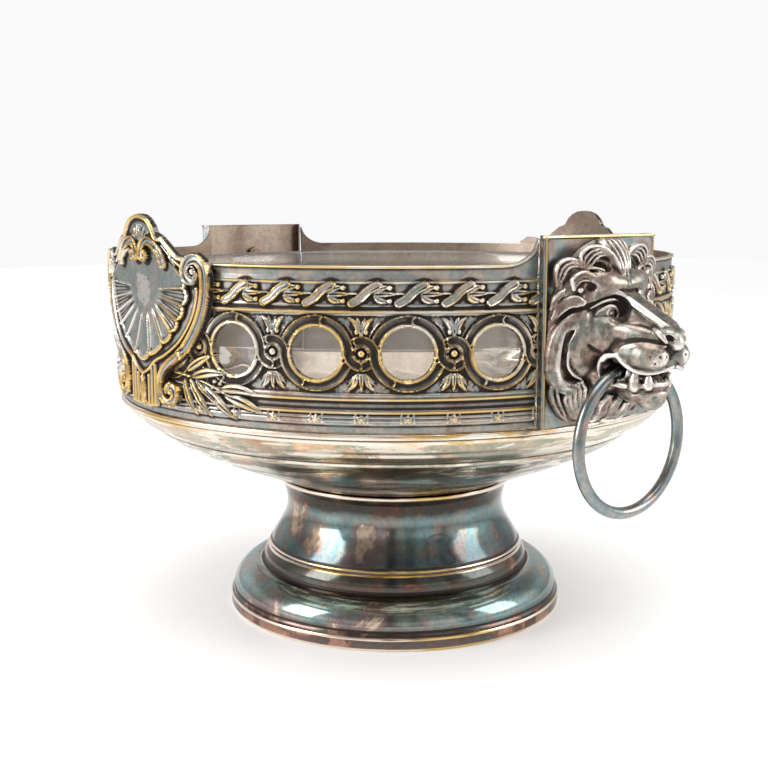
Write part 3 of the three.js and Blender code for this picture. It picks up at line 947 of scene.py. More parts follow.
def makePanels():
    # one quarter of the wall as a height field, the greater of its mouldings and its ornament,
    # cut by the rim, an elliptical sweep up to the lion plate and round holes
    field = makeField((-wall["seam"], wall["low"]), (-wall["sweep"][1], wall["crest"]), wall["step"])
    s, z = field["s"][:, None], field["z"][None, :]
    zs, outs = np.array(wall["section"]).T
    plain = np.interp(z, zs, outs) * np.ones_like(s)
    drawGuilloche(field)
    drawPalmettes(field)
    drawLaurel(field)
    drawReeds(field)
    drawSpray(field)
    grain = blurred(np.random.default_rng(7).normal(size=field["height"].shape), 1, 1) * 0.16
    ground = (z > 140.5) & (z < 174) & (field["height"] < 0.25)
    ornament = field["height"] + np.where(plain < 0, plain * 0.5, 0)
    field["height"] = np.maximum(plain, ornament) + np.where(ground, grain, 0)
    # the outline: rim, sweep up to the lion plate, ends and holes
    a = (s + wall["sweep"][0]) / (wall["sweep"][0] - wall["sweep"][1])
    b = (z - wall["crest"] - 0.3) / (wall["crest"] + 0.3 - wall["rim"])
    top = np.where(a > 0, (np.hypot(a, b) - 1) * 13.4, wall["rim"] - z)
    lip = np.clip(top / 1.5, 0, 1)
    bead = 0.95 * np.sqrt(np.clip(1 - (2 * lip - 1) ** 2, 0, 1))
    field["height"] = np.where(top < 1.5, np.maximum(field["height"], bead), field["height"])
    depth = np.minimum(top, z - wall["low"])
    depth = np.minimum(depth, np.minimum(-wall["sweep"][1] - s, s + wall["seam"]))
    for k in range(wall["count"]):
        depth = np.minimum(depth, np.hypot(s + holeAt(k), z - wall["holeZ"]) - wall["holeR"])
    mirrored = field | {"s": -field["s"][::-1], "height": field["height"][::-1]}
    for name, mirror, turn in (
        ("front_right", False, 0.0), ("back_left", False, np.pi), ("back_right", True, 0.0),
        ("front_left", True, np.pi),
    ):
        panel = reliefPlate(
            "piercedPanel_" + name,
            mirrored if mirror else field,
            depth[::-1] if mirror else depth,
            onCylinder(wall["radius"], turn),
            1.3,
        )
        finishPiece(panel, reliefMetal, "bowl", "stamped_silver", "pierced_panel_" + name)


makePanels()
print("wall panels made")

cartouche = {
    "radius": 151.9,  # front of the plate's ground
    "sheet": 1.15,
    "step": 0.34,
    "most": 3.3,
    "focus": 182.0,  # height of the point that the flutes spread from
    # half outline from the crown down, as (distance from the middle, height)
    "outline": [
        (0, 217.2), (5, 216.8), (9.5, 215), (13, 212), (15, 208.6), (20, 206.8), (26, 202.6), (31, 199),
        (34.5, 198.2), (38.5, 199.8), (44.6, 200.2), (49.6, 197), (51.9, 190), (51.7, 180), (49, 170),
        (44.4, 162.4), (38.6, 155.4), (32.6, 150.6), (26.4, 147.4), (21.4, 143.2), (19.6, 140),
        (23, 140.2), (28, 138.6), (30, 134.6), (28, 129.8), (22.6, 127.7), (16.6, 129.2), (13.6, 132),
        (13.2, 128.4), (12.4, 126.6), (8, 126.2), (5, 125.2), (0, 124.9),
    ],
    # shell edge: degrees from straight down, distance from the focus
    "shellEdge": [
        (0, 34), (12, 33), (26, 31.6), (40, 32), (53, 33), (65, 34.4), (77, 36), (87, 38), (95, 37.8),
        (107, 33), (122, 26), (145, 18), (180, 15),
    ],
    "lobeEdges": [-13, 13, 37, 54, 67, 80, 93],
}


def shellHeight(field):
    # a dish that rises towards its scalloped edge, with a raised line between lobes and fine
    # lines within them, all fading out near the focus
    s, z = field["s"][:, None], field["z"][None, :] - cartouche["focus"]
    across = np.abs(np.degrees(np.arctan2(s, -z)))
    away = np.hypot(s, z)
    places, sizes = np.array(cartouche["shellEdge"], float).T
    lobes = np.array(cartouche["lobeEdges"], float)
    k = np.clip(np.searchsorted(lobes, across) - 1, 0, len(lobes) - 2)
    part = np.clip((across - lobes[k]) / (lobes[k + 1] - lobes[k]), 0, 1)
    bulge = np.clip(np.sin(np.pi * part), 0, 1) ** 0.6
    edge = np.interp(across, places, sizes) * (1 + 0.045 * (bulge - 0.6) * (across < 93))
    t = away / edge
    rise = smoothStep(t, 0.3, 0.55) * (across < 94)
    line = np.minimum(part, 1 - part) * np.radians(lobes[k + 1] - lobes[k]) * np.maximum(away, 4)
    high = -0.7 + 2.6 * (away / 34) ** 2
    high += rise * (0.85 * np.exp(-((line / 0.55) ** 2)) - 0.6 * bulge)
    side = smoothStep(across, 48, 58)
    fine = np.cos(part * 2 * np.pi * 4) * side + 0.1 * np.cos(part * 2 * np.pi * 5) * (1 - side)
    high += rise * 0.22 * fine * smoothStep(t, 0.4, 0.8)
    high += 0.6 * np.exp(-(((t - 0.965) / 0.03) ** 2)) * (across < 96)
    return np.where(t < 1, high, -9), t


def halfTools(field, side):
    # a strip and a boss for one half of the cartouche, mirrored where side is below zero
    def strip(points, width, high, section=domed, **more):
        path = [(side * u, z) for u, z in points]
        lay(field, path, width, high, section, count=len(points) * 7, **more)

    def boss(u, z, high, *size, **more):
        bump(field, side * u, z, high, *size, **more)

    return strip, boss


def drawGutter(strip):
    # edge of the gutter round the shell, running into the tongue below it
    strip(
        [
            (43.6, 184), (43.2, 179), (40.8, 171.5), (36.2, 164.4), (30, 158), (21, 152.4), (12, 148.6),
            (6, 144.2), (0, 141.4)
        ],
        0.95, 2.3
    )


def drawCrown(strip):
    # crown: an arch over a small fan
    strip([(19.4, 205.2), (15.6, 205.8), (13.2, 209.8), (9, 213.8), (4, 215.6), (0, 216)], 1.35, 2.9)
    for foot, tip in (
        ((1, 204), (2.4, 213)), ((2.4, 204.2), (6, 211.6)), ((4, 205), (9.2, 209)), ((0, 204), (0, 213.6))
    ):
        strip(
            [foot, ((foot[0] + tip[0]) / 2, (foot[1] + tip[1]) / 2 + 0.4), tip], 1.2, 2.2, leafed,
            taper=leafShape
        )
    strip([(19.6, 206), (25, 201.6), (30.4, 197.8), (34.6, 196.8)], 1.3, 2.6)
    strip([(20.4, 202.6), (26, 198.4), (30, 195.6), (34, 193.4)], 0.8, 2.0)


def drawMainScroll(strip, boss):
    # main scroll and the side band that grows out of it
    strip(
        [
            (43.2, 190), (41.4, 187.8), (37.9, 188.8), (36.9, 192.6), (39.6, 196.4), (44.6, 197),
            (48.4, 193.4), (49.2, 187), (48.6, 179.5), (45.8, 170.8), (41.6, 163.6), (36.2, 156.8),
            (31.6, 153)
        ],
        2.55, 3.3, rolled, over=True,
    )
    boss(41.8, 191.6, 3.2, 2.0, over=True)
    strip([(38.9, 189.8), (41.6, 188.9), (43.6, 190.8), (42.6, 193.6), (40.2, 193.6)], 0.5, 2.6)


def drawFootScroll(strip, boss):
    # foot scroll
    strip(
        [
            (31.6, 153), (26, 149.8), (20.8, 146.2), (17.3, 141.4), (16.7, 136), (19.1, 131.4), (23.8, 130),
            (27.4, 132.8), (27, 136.8), (24, 137.8), (22.4, 135.9)
        ],
        2.0, 3.1, rolled, over=True,
    )
    boss(24.4, 134.6, 2.9, 1.5)
    boss(31.9, 153.4, 3.3, 2.5, 2.2)


def drawSmallScrolls(strip, boss):
    # small scrolls under the crown, each ending in a drooping leaf
    strip(
        [
            (6.2, 198.6), (4.6, 196.8), (2.6, 198.4), (3.4, 202), (7.4, 204.6), (12, 204), (16.6, 201.8),
            (20, 198.4), (21.8, 194.2)
        ],
        2.15, 3.25, rolled, over=True
    )
    boss(5.6, 199.4, 3.1, 1.8)
    strip([(12, 201), (18, 199), (22.4, 193.2)], 2.0, 3.2, leafed, taper=leafShape)
    strip([(24.6, 200), (27.6, 196.6), (29.2, 193)], 1.3, 2.4, leafed, taper=leafShape)


def drawHusks(strip):
    # reeds and husk drop under the tongue
    for u, low, high in ((5.6, 127, 141), (8.6, 127, 144.4), (11.4, 127.4, 146.4)):
        strip([(u, high), (u, (low + high) / 2), (u - 0.2, low)], 1.0, 2.0)
    strip([(0.4, 139.4), (1.5, 133), (1.2, 129.4), (3.4, 125.9)], 1.25, 2.8, leafed, taper=leafShape)


def makeCartouches():
    # the height is the shell dish inside its scalloped edge, a plain sheet beyond it, and the
    # greater of that and each scroll, leaf and boss, eased down towards the outline
    field = makeField((-52.4, 124.6), (52.4, 217.6), cartouche["step"])
    right = np.array(cartouche["outline"], float)
    outline = np.vstack([right, (right[1:-1] * (-1, 1))[::-1]])
    depth = outlineDistance(field, outline)
    field["height"] += 0.25
    shell, share = shellHeight(field)
    beyond = field["height"] + 0.9 * np.clip((share - 1) / 0.5, 0, 1) * (field["z"][None, :] > 150)
    field["height"] = np.where(share < 1, shell, beyond)
    for side in (-1, 1):
        strip, boss = halfTools(field, side)
        drawGutter(strip)
        drawCrown(strip)
        drawMainScroll(strip, boss)
        drawFootScroll(strip, boss)
        drawSmallScrolls(strip, boss)
        drawHusks(strip)
    lay(field, [(0, 140.6), (0, 133), (0, 125.3)], 1.5, 3.1, leafed, taper=leafShape, count=12)
    bump(field, 0, 139.4, 2.8, 1.6, 1.9)
    # a bare rubbed place in the middle of the dish
    fs, fz = field["s"][:, None], field["z"][None, :] - cartouche["focus"] + 1
    field["bare"] = np.exp(-((fs / 9) ** 2) - (fz / 7) ** 2)
    rim = np.clip(depth / 0.9, 0, 1)
    fall = 0.75 * (1 - np.sqrt(1 - (1 - rim) ** 2))
    field["height"] = np.minimum(field["height"], cartouche["most"]) - fall
    for name, turn in (("front", -np.pi / 2), ("back", np.pi / 2)):
        piece = reliefPlate(
            "shellCartouche_" + name, field, depth, onCylinder(cartouche["radius"], turn),
            cartouche["sheet"], 4.0
        )
        finishPiece(piece, shellMetal, "bowl", "cast_silver", "shell_cartouche_" + name)


shellMetal = tarnishedSilver(
    "shellMetal",
    plainLook
    | {
        "patch": 24.0,
        "colours": [
            (0.34, (0.3, 0.25, 0.22)), (0.43, (0.48, 0.44, 0.41)), (0.5, (0.36, 0.42, 0.41)),
            (0.57, (0.52, 0.48, 0.44)), (0.66, (0.36, 0.3, 0.27)),
        ],
        "wearFrom": 0.12,
        "wearFull": 0.42,
        "brassFrom": 0.37,
        "brass": (0.86, 0.6, 0.24),
        "bright": (0.9, 0.84, 0.76),
        "rubScale": 42.0,
        "rubStretch": (1, 1, 1),
        "rubFrom": 0.7,
        "rough": 0.2,
        "dirtFrom": 0.1,
        "dirtFull": 0.55,
        "bump": 0.12,
    },
)
makeCartouches()
print("cartouches made")

lionPlate = {
    "front": 151.5, "half": 36.3, "back": (146.5, 34.05), "low": 122.8, "top": 208.1, "sheet": 1.1,
    "step": 0.55
}


def makeLionPlates():
    # a flat plate whose two sides turn back to the wall; s runs along its plan outline
    x, half = lionPlate["front"], lionPlate["half"]
    bx, by = lionPlate["back"]
    plan = evenProfile([(bx, -by), (x, -half), (x, half), (bx, by)], 0.2, 3, False)
    run = np.concatenate([[0], np.cumsum(np.hypot(*np.diff(plan, axis=0).T))])
    along = np.gradient(plan, run, axis=0)
    side = np.hypot(x - bx, half - by)
    field = makeField((0, lionPlate["low"]), (run[-1], lionPlate["top"]), lionPlate["step"])
    s, z = field["s"][:, None], field["z"][None, :]
    depth = np.minimum(np.minimum(s, run[-1] - s), np.minimum(z - lionPlate["low"], lionPlate["top"] - z))
    for u in (side + 0.95, run[-1] - side - 0.95):
        lay(field, [(u, lionPlate["low"] - 1), (u, lionPlate["top"] + 1)], 0.75, 0.6)
    lay(field, [(side, lionPlate["top"] - 0.8), (run[-1] - side, lionPlate["top"] - 0.8)], 0.8, 0.6)
    for name, turn in (("right", 1.0), ("left", -1.0)):
        def place(s, z, out, turn=turn):
            px = np.interp(s, run, plan[:, 0]) + out * np.interp(s, run, along[:, 1])
            py = np.interp(s, run, plan[:, 1]) - out * np.interp(s, run, along[:, 0])
            return np.column_stack([px * turn, py * turn, z])

        piece = reliefPlate("lionPlate_" + name, field, depth, place, lionPlate["sheet"], 1.5)
        finishPiece(piece, plateMetal, "bowl", "stamped_silver", "lion_plate_" + name)


plateMetal = tarnishedSilver(
    "plateMetal",
    plainLook
    | {
        "patch": 21.0,
        "colours": [
            (0.34, (0.22, 0.16, 0.14)), (0.42, (0.36, 0.3, 0.26)), (0.49, (0.24, 0.34, 0.35)),
            (0.53, (0.4, 0.4, 0.38)), (0.6, (0.32, 0.24, 0.2)), (0.68, (0.55, 0.43, 0.35)),
        ],
        "wearFrom": 0.1,
        "wearFull": 0.3,
        "brassFrom": 0.4,
        "rough": 0.2,
    },
)
makeLionPlates()
print("lion plates made")

ring = {"pivot": (171.4, 149.9), "radius": 33.2, "bar": 2.78, "turns": 260, "round": 26}


def makeRings():
    # a bar of radius b carried round a circle of radius R: a torus standing in a plane across X
    a = np.linspace(0, 2 * np.pi, ring["turns"], endpoint=False)[:, None]
    b = np.linspace(0, 2 * np.pi, ring["round"], endpoint=False)[None, :]
    bar = ring["bar"] * (1 - 0.012 * (1 + np.sin(3 * a + 0.6)))  # a little worn
    r = ring["radius"] + bar * np.cos(b)
    x = ring["pivot"][0] + bar * np.sin(b) + 0 * a
    points = np.stack(
        [x, r * np.sin(a), ring["pivot"][1] - ring["radius"] + r * np.cos(a)], -1
    ).reshape(-1, 3)
    i, j = np.meshgrid(np.arange(ring["turns"]), np.arange(ring["round"]), indexing="ij")
    m, n = (i + 1) % ring["turns"], (j + 1) % ring["round"]
    quads = np.stack(
        [i * ring["round"] + j, i * ring["round"] + n, m * ring["round"] + n, m * ring["round"] + j], -1
    ).reshape(-1, 4)
    for name, turn in (("right", 1.0), ("left", -1.0)):
        piece = buildMesh("ringHandle_" + name, points * (turn, turn, 1), [quads])
        finishPiece(piece, ringMetal, "ring_" + name, "handle_silver", "ring_handle_" + name)


ringMetal = tarnishedSilver(
    "ringMetal",
    plainLook
    | {
        "patch": 24.0,
        "colours": [
            (0.34, (0.26, 0.21, 0.19)), (0.42, (0.3, 0.32, 0.33)), (0.49, (0.38, 0.36, 0.34)),
            (0.55, (0.24, 0.31, 0.32)), (0.61, (0.38, 0.32, 0.29)), (0.68, (0.5, 0.38, 0.31)),
        ],
        "rubFrom": 0.72,
        "rough": 0.14,
        "freckle": 0.35,
    },
)
makeRings()
print("rings made")

lion = {
    "low": (151.0, 0.0, 121.5),
    "high": (201.6, 37.0, 207.5),
    "step": 0.48,
    "back": 151.85,  # the flat that lies on the plate
    "half": 35.9,
    "bottom": 123.4,
    "top": 206.8,
    "swingTop": 153.3,  # the room for the ring ends at this height
    "swingHalf": 24,
    "most": 185000,  # triangles
    "far": 6.0,  # value of empty space in the field
}


def makeBlock():
    # a block of distances to the surface, minus inside; only the half with Y above 0 is stored
    low, high, step = lion["low"], lion["high"], lion["step"]
    axes = [np.arange(low[k], high[k], step) for k in range(3)]
    return {"axes": axes, "d": np.full([len(a) for a in axes], lion["far"], np.float32)}


def cell(block, points, reach):
    # the part of the block within reach of the points
    p = np.atleast_2d(points)
    low, high = p.min(0) - reach, p.max(0) + reach
    part = tuple(slice(*np.searchsorted(a, (low[k], high[k]))) for k, a in enumerate(block["axes"]))
    x, y, z = (a[s].astype(np.float32) for a, s in zip(block["axes"], part))
    return part, x[:, None, None], y[None, :, None], z[None, None, :]


def join(block, part, d, soft, carve=False):
    # union or cut, rounded where the two surfaces meet within the soft distance
    was = block["d"][part]
    if was.size == 0:
        return
    other = -d if carve else d
    h = np.clip(soft - np.abs(was - other), 0, None) ** 2 / (4 * soft)
    block["d"][part] = np.maximum(was, other) + h if carve else np.minimum(was, other) - h


def ball(block, centre, radii, soft=1.5, carve=False, lean=0.0):
    # an ellipsoid, leaning forward by an angle in the XZ plane
    part, x, y, z = cell(block, centre, max(radii) + 3)
    c, s = np.cos(lean), np.sin(lean)
    dx, dy, dz = x - centre[0], y - centre[1], z - centre[2]
    u, v, w = (c * dx - s * dz) / radii[0], dy / radii[1], (s * dx + c * dz) / radii[2]
    k0 = np.sqrt(u * u + v * v + w * w)
    k1 = np.sqrt((u / radii[0]) ** 2 + (v / radii[1]) ** 2 + (w / radii[2]) ** 2) + 1e-9
    join(block, part, k0 * (k0 - 1) / k1, soft, carve)


def tube(block, points, radii, soft=0.8, carve=False, count=0, flat=1.0):
    # a rod along a smooth curve with its radius changing from point to point; flat thins it in X
    p = np.asarray(points, float)
    r = np.interp(
        np.linspace(0, 1, count or 5 * len(p)), np.linspace(0, 1, len(np.atleast_1d(radii))),
        np.atleast_1d(radii)
    )
    p = curve(p, len(r))
    part, x, y, z = cell(block, p, r.max() + 2.5)
    d = np.full(np.broadcast_shapes(x.shape, y.shape, z.shape), lion["far"], np.float32)
    if d.size == 0:
        return
    inner = {"axes": [a[s] for a, s in zip(block["axes"], part)]}
    for i in range(len(p) - 1):
        a, b = p[i], p[i + 1]
        some, x, y, z = cell(inner, [a, b], max(r[i], r[i + 1]) + 2.4)
        along = b - a
        t = ((x - a[0]) * along[0] + (y - a[1]) * along[1] + (z - a[2]) * along[2]) / (along @ along + 1e-9)
        t = np.clip(t, 0, 1)
        gap = np.sqrt(
            ((x - a[0] - t * along[0]) / flat) ** 2
            + (y - a[1] - t * along[1]) ** 2 + (z - a[2] - t * along[2]) ** 2
        )
        d[some] = np.minimum(d[some], gap - (r[i] + t * (r[i + 1] - r[i])))
    join(block, part, d, soft, carve)


def slab(block, centre, half, rounding, soft=0.8, carve=False, lean=0.0):
    # a box with rounded edges, turned by an angle in the XZ plane
    part, x, y, z = cell(block, centre, float(np.linalg.norm(half)) + 3)
    c, s = np.cos(lean), np.sin(lean)
    dx, dz = x - centre[0], z - centre[2]
    u = np.abs(c * dx - s * dz) - (half[0] - rounding)
    v = np.abs(y - centre[1]) - (half[1] - rounding)
    w = np.abs(s * dx + c * dz) - (half[2] - rounding)
    out = np.sqrt(np.maximum(u, 0) ** 2 + np.maximum(v, 0) ** 2 + np.maximum(w, 0) ** 2)
    join(block, part, out + np.minimum(np.maximum(np.maximum(u, v), w), 0) - rounding, soft, carve)


def fan(block, outer, inner, strands=4, thick=0.85, tip=0.6, soft=0.3, sink=0.0, deep=2.4):
    # a lock of hair: strands side by side between an outer and an inner curve, drawn together at
    # both ends; deep is how far each strand reaches down into the mask
    count = 7 * max(len(outer), len(inner))
    first, last = curve(outer, count), curve(inner, count)
    t = np.linspace(0, 1, count)
    fade = (1 - (1 - tip) * smoothStep(t, 0.5, 1)) * (1 - 0.3 * (1 - smoothStep(t, 0, 0.2)))
    spread = (1 - 0.8 * smoothStep(t, 0.72, 1)) * (1 - 0.45 * (1 - smoothStep(t, 0, 0.22)))
    for share in np.linspace(-1, 1, strands) if strands > 1 else (0,):
        path = (first + last) / 2 + (last - first) / 2 * (share * spread)[:, None]
        path[:, 0] -= sink * (1 - share * share) + (deep - 1) * thick * fade * 0.9
        tube(block, path, thick * fade, soft, count=count, flat=deep)


def sculptSkull(block):
    # skull, forehead and cheeks
    ball(block, (153, 0, 184), (13.4, 21, 16), 2)
    ball(block, (156, 0, 168), (12, 20, 24), 2)
    ball(block, (156.6, 17.6, 161), (8.4, 11.4, 16.5), 3)
    ball(block, (160.6, 9.5, 187.6), (7.2, 9, 6.4), 3)


def sculptBrow(block):
    # brow ridge that runs on as the edge of the nose bridge
    tube(
        block, [(165.6, 0, 186.5), (165, 7, 186.5), (162.6, 13, 184.4), (159.6, 18.4, 181)],
        [3.4, 3.2, 2.8, 2], 2.5
    )
    slab(block, (177.6, 0, 172.6), (15.4, 4.9, 5.6), 1.5, 1.3, lean=0.464)
    brow = [
        (157.6, 21.4, 177.2), (160.6, 17.9, 179.4), (163.6, 14.2, 181), (166.4, 9.8, 183),
        (168.6, 6.6, 182.9), (171.2, 5, 180.6), (175, 4.6, 178), (180, 4.5, 175.3), (186, 4.2, 172.4),
        (190.6, 4.2, 170)
    ]
    tube(block, brow, [0.6, 1.1, 1.25, 1.3, 1.3, 1.1, 0.9, 0.8, 0.7, 0.6], 0.9, count=50)
    tube(block, [(166.6, 0, 195), (168.6, 0, 189), (170.6, 0, 184.6)], [0.3, 0.9, 0.4], 1.4, carve=True)


def sculptMuzzle(block):
    # side of the muzzle and the whisker pads with a clean upper edge
    ball(block, (174, 0, 164), (19.6, 11, 10.6), 2.2, lean=0.2)
    ball(block, (177.6, 0, 163), (15.6, 12.2, 8), 2.2, lean=0.12)
    ball(block, (165.4, 11.6, 164), (6.4, 7, 9.6), 3.4)
    tube(
        block, [(168.6, 11.2, 167.6), (176, 10, 167.6), (183, 8, 166.4), (190, 5.4, 165)],
        [2.4, 2.8, 2.6, 2.0], 2.6
    )
    ball(block, (183.2, 6.9, 157.2), (12.6, 8.4, 7.8), 1.2, lean=0.06)
    ball(block, (177, 9.2, 157), (9, 6.2, 6), 1.4)
    tube(
        block,
        [
            (175.4, 14.4, 157.8), (178.6, 14.2, 160.6), (184, 12.6, 162), (189.6, 9.6, 162),
            (194.6, 6, 161.8)
        ],
        [0.6, 0.85, 0.9, 0.8, 0.5], 0.8
    )
    tube(
        block, [(172.6, 14.6, 161.4), (178, 13.6, 163.6), (185, 10.8, 164.2), (190.4, 8, 163.6)],
        [0.4, 0.7, 0.7, 0.4], 1.2, carve=True
    )
    tube(
        block, [(170, 12.4, 171.4), (176, 11, 171.6), (182, 7.8, 170.4), (188, 6.4, 168.4)],
        [0.3, 0.6, 0.5, 0.3], 1.4, carve=True
    )


def sculptNose(block):
    # tip and wings of the nose, the nostril and the groove under it
    ball(block, (191.4, 0, 166.4), (6.8, 6.9, 4.4), 1.1, lean=0.42)
    ball(block, (195, 0, 163), (3.7, 3.8, 3.4), 1.0)
    tube(block, [(188.4, 6.4, 168.4), (192, 7.3, 167), (195, 6.4, 164)], [1.1, 1.4, 1.0], 0.7)
    ball(block, (196, 4.6, 164.8), (3.2, 1.8, 1.5), 0.6, carve=True, lean=0.5)
    tube(block, [(200, 0, 160.6), (196.6, 0, 156), (196, 0, 150)], [0.8, 1.0, 1.0], 0.6, carve=True)


def sculptEye(block):
    # eye in its socket, with lids, iris and pupil
    ball(block, (169.6, 6.8, 177), (4.2, 3.8, 4.2), 1.6, carve=True)
    ball(block, (167.4, 13, 178), (3.4, 4.4, 2.9), 1.4, carve=True)
    tube(block, [(171, 6.4, 174.6), (172.4, 7.6, 171.2), (173, 9.6, 169)], [1.7, 1.3, 0.5], 1.2, carve=True)
    ball(block, (162.9, 10.9, 174.2), (4.9, 4.9, 4.4), 0.5)
    tube(
        block,
        [
            (168.3, 6.4, 173.6), (168.5, 8.2, 176.3), (167.7, 10.6, 177.4), (166.4, 13.4, 176.6),
            (164, 15.8, 174)
        ],
        [0.5, 0.75, 0.85, 0.75, 0.5], 0.3
    )
    tube(
        block,
        [
            (168.3, 6.4, 173.5), (168.3, 8.6, 171.7), (167.4, 11.4, 170.9), (166.1, 13.8, 171.9),
            (164, 15.8, 173.8)
        ],
        [0.4, 0.6, 0.7, 0.6, 0.4], 0.3
    )
    tube(
        block, [(167.9, 6, 179.4), (167.6, 9.6, 180.2), (165.6, 14, 179.2), (162.4, 18.2, 176.4)],
        [0.4, 0.7, 0.7, 0.4], 0.7
    )
    around = np.linspace(0, 2 * np.pi, 13)
    tube(
        block,
        np.column_stack([167.55 + 0 * around, 10.9 + 1.9 * np.cos(around), 174.2 + 1.9 * np.sin(around)]),
        0.58, 0.15, count=26
    )
    ball(block, (167.8, 10.9, 174.2), (0.85, 0.85, 0.85), 0.15)


def sculptFolds(block):
    # folds under the eye and across the cheek
    tube(
        block, [(168.6, 9, 169.4), (166.4, 13, 168.2), (163, 17.6, 169.6)], [0.4, 0.7, 0.4], 0.8, carve=True
    )
    tube(block, [(160.8, 22.8, 167), (163, 19.2, 164.4), (166.4, 16, 162)], [0.5, 1.0, 0.6], 1.4)
    tube(block, [(164, 20.6, 160.6), (167, 16.8, 157)], [0.4, 0.8], 1.2, carve=True)


def sculptMouth(block):
    # jaw, an open mouth with its tongue, lips, chin and teeth
    ball(block, (157.5, 0, 138), (9.6, 16, 13), 2.5)
    ball(block, (162, 8, 146.4), (9.4, 9.6, 8), 2.2)
    ball(block, (177.4, 0, 140.2), (11.8, 10.2, 6.2), 1.4)
    slab(block, (183, 0, 147.5), (15, 13, 3.0), 2.0, 0.6, carve=True)
    ball(block, (171.6, 0, 148.4), (10, 10.6, 6.4), 0.6)
    ball(block, (180, 0, 145.6), (7, 6, 3.2), 0.5)
    tube(
        block,
        [
            (195, 1.2, 152.8), (193.6, 6, 151.4), (190.2, 10.8, 150.4), (185, 13.8, 150.8),
            (179.4, 14.8, 153.4), (174.4, 14.7, 156.8)
        ],
        [0.7, 0.9, 1.0, 1.0, 1.0, 0.9], 0.7
    )
    tube(
        block,
        [
            (174.6, 14.8, 156.8), (169.8, 16.4, 155.6), (167.6, 16.6, 151), (168.8, 14.8, 146),
            (173.6, 12.2, 143.6), (180, 10.2, 143)
        ],
        [1.0, 1.5, 1.7, 1.6, 1.3, 1.1], 0.8
    )
    tube(
        block,
        [(188.2, 0, 144.2), (187.2, 4.4, 144.2), (184.4, 7.8, 143.8), (179.4, 10, 143.4), (174, 12, 143.6)],
        [1.3, 1.3, 1.2, 1.1, 1.0], 0.6
    )
    ball(block, (182.6, 0, 137.6), (5.6, 7.4, 5.6), 1.0)
    tube(
        block, [(189, 0, 141.6), (187.8, 4.4, 141.4), (184.4, 8.4, 140.8), (180, 9.8, 139.8)],
        [0.5, 0.5, 0.5, 0.3], 0.6, carve=True
    )
    tube(block, [(181, 9.5, 143.4), (181.2, 9.8, 146), (181.8, 10.3, 148.6)], [2.8, 2.5, 1.5], 0.6)
    tube(block, [(185.8, 6.2, 143.8), (186.1, 6.4, 145.6), (186.4, 6.8, 147.6)], [2.3, 2.0, 1.3], 0.5)
    for y in (1.1, 3.4):
        tube(block, [(187.2, y, 144.0), (187.2, y, 145.6)], [1.2, 0.9], 0.4)


def sculptWhiskers(block):
    # rows of whisker dimples, set on the ellipsoid of the whisker pad
    for z, places in ((160, (8, 11.4)), (157.4, (6.4, 9.6, 12.6)), (154.8, (7.4, 10.8))):
        for y in places:
            x = 183 + 12.4 * np.sqrt(max(0, 1 - ((y - 6.8) / 8.8) ** 2 - ((z - 158.2) / 8.2) ** 2))
            ball(block, (x, y, z), (0.8, 0.55, 0.55), 0.3, carve=True)


def sculptCurls(block):
    # forelock, then curls from the crown to the cheek
    fan(
        block,
        [(165.4, 2.8, 190.8), (163.8, 4, 196.4), (161, 5.6, 201.4), (158.2, 6, 204.8), (156.4, 4.4, 206)],
        [(166.2, 0.2, 190.4), (164.6, 0.3, 196.6), (162, 0.3, 201.4), (158.8, 0.3, 205), (156, 0.3, 206)],
        3, 1.35, 0.8, 0.25
    )
    fan(
        block,
        [
            (162.4, 3.6, 193), (162.4, 5.6, 199.6), (162, 10.6, 203), (161, 17.7, 203),
            (159.6, 22.2, 199.4), (158, 22.4, 195)
        ],
        [
            (162.4, 5.2, 194.4), (161.6, 6, 197.6), (161.2, 9.3, 199.4), (160.8, 13.7, 198),
            (160.4, 15.8, 194.8), (160.4, 15.4, 192.4)
        ],
        4
    )
    ball(block, (161.6, 10.4, 194.8), (5, 3.8, 3.4), 0.8, carve=True)
    fan(
        block, [(164, 10.4, 192.6), (162.4, 15, 193.8), (160, 19.6, 193.6)],
        [(164.6, 11, 190.4), (163, 15.2, 191.4), (160.6, 19.4, 191.8)], 2, 0.75
    )
    fan(
        block,
        [
            (158.6, 19.6, 194.8), (158, 23, 197.4), (157.2, 27.2, 197.8), (156, 31.4, 195.8),
            (155, 32.6, 190.8), (153.8, 32.8, 185.4)
        ],
        [
            (158.6, 21, 193.2), (157.8, 24.4, 194.8), (157, 27.8, 193.4), (156.2, 29, 190),
            (155.4, 28.8, 186.6)
        ],
        3
    )
    ball(block, (157, 25, 190.4), (3.6, 3.2, 2.8), 0.8, carve=True)
    fan(
        block,
        [(165, 13.6, 187.4), (163, 18.6, 191.4), (161, 22, 192.2), (159.2, 26, 189.4), (158, 26.8, 184.4)],
        [
            (164, 14.8, 185.6), (162, 18.8, 188.4), (160.6, 22, 188.7), (159.6, 23.8, 186.8),
            (159.4, 23, 184.4)
        ],
        3
    )
    ball(block, (162.6, 18.8, 185.6), (2.8, 2.7, 2.1), 1.0, carve=True)
    ball(block, (160, 22.2, 184.4), (1.4, 1.4, 1.4), 0.4)
    fan(
        block, [(157.2, 28.6, 185.4), (155.4, 32.4, 181.6), (154, 34.2, 176.4)],
        [(156.6, 28.8, 183.2), (155, 31.6, 179.8), (153.8, 33.2, 175.6)], 2, 0.75
    )
    fan(
        block, [(161.6, 20, 180.4), (159, 25.8, 181.6), (156, 30.8, 178.2), (154, 33.8, 173.4)],
        [(161.6, 21.8, 177.2), (159, 26.6, 177.4), (156.2, 30.6, 174.2), (154.4, 32.4, 170.2)], 4, 0.8
    )


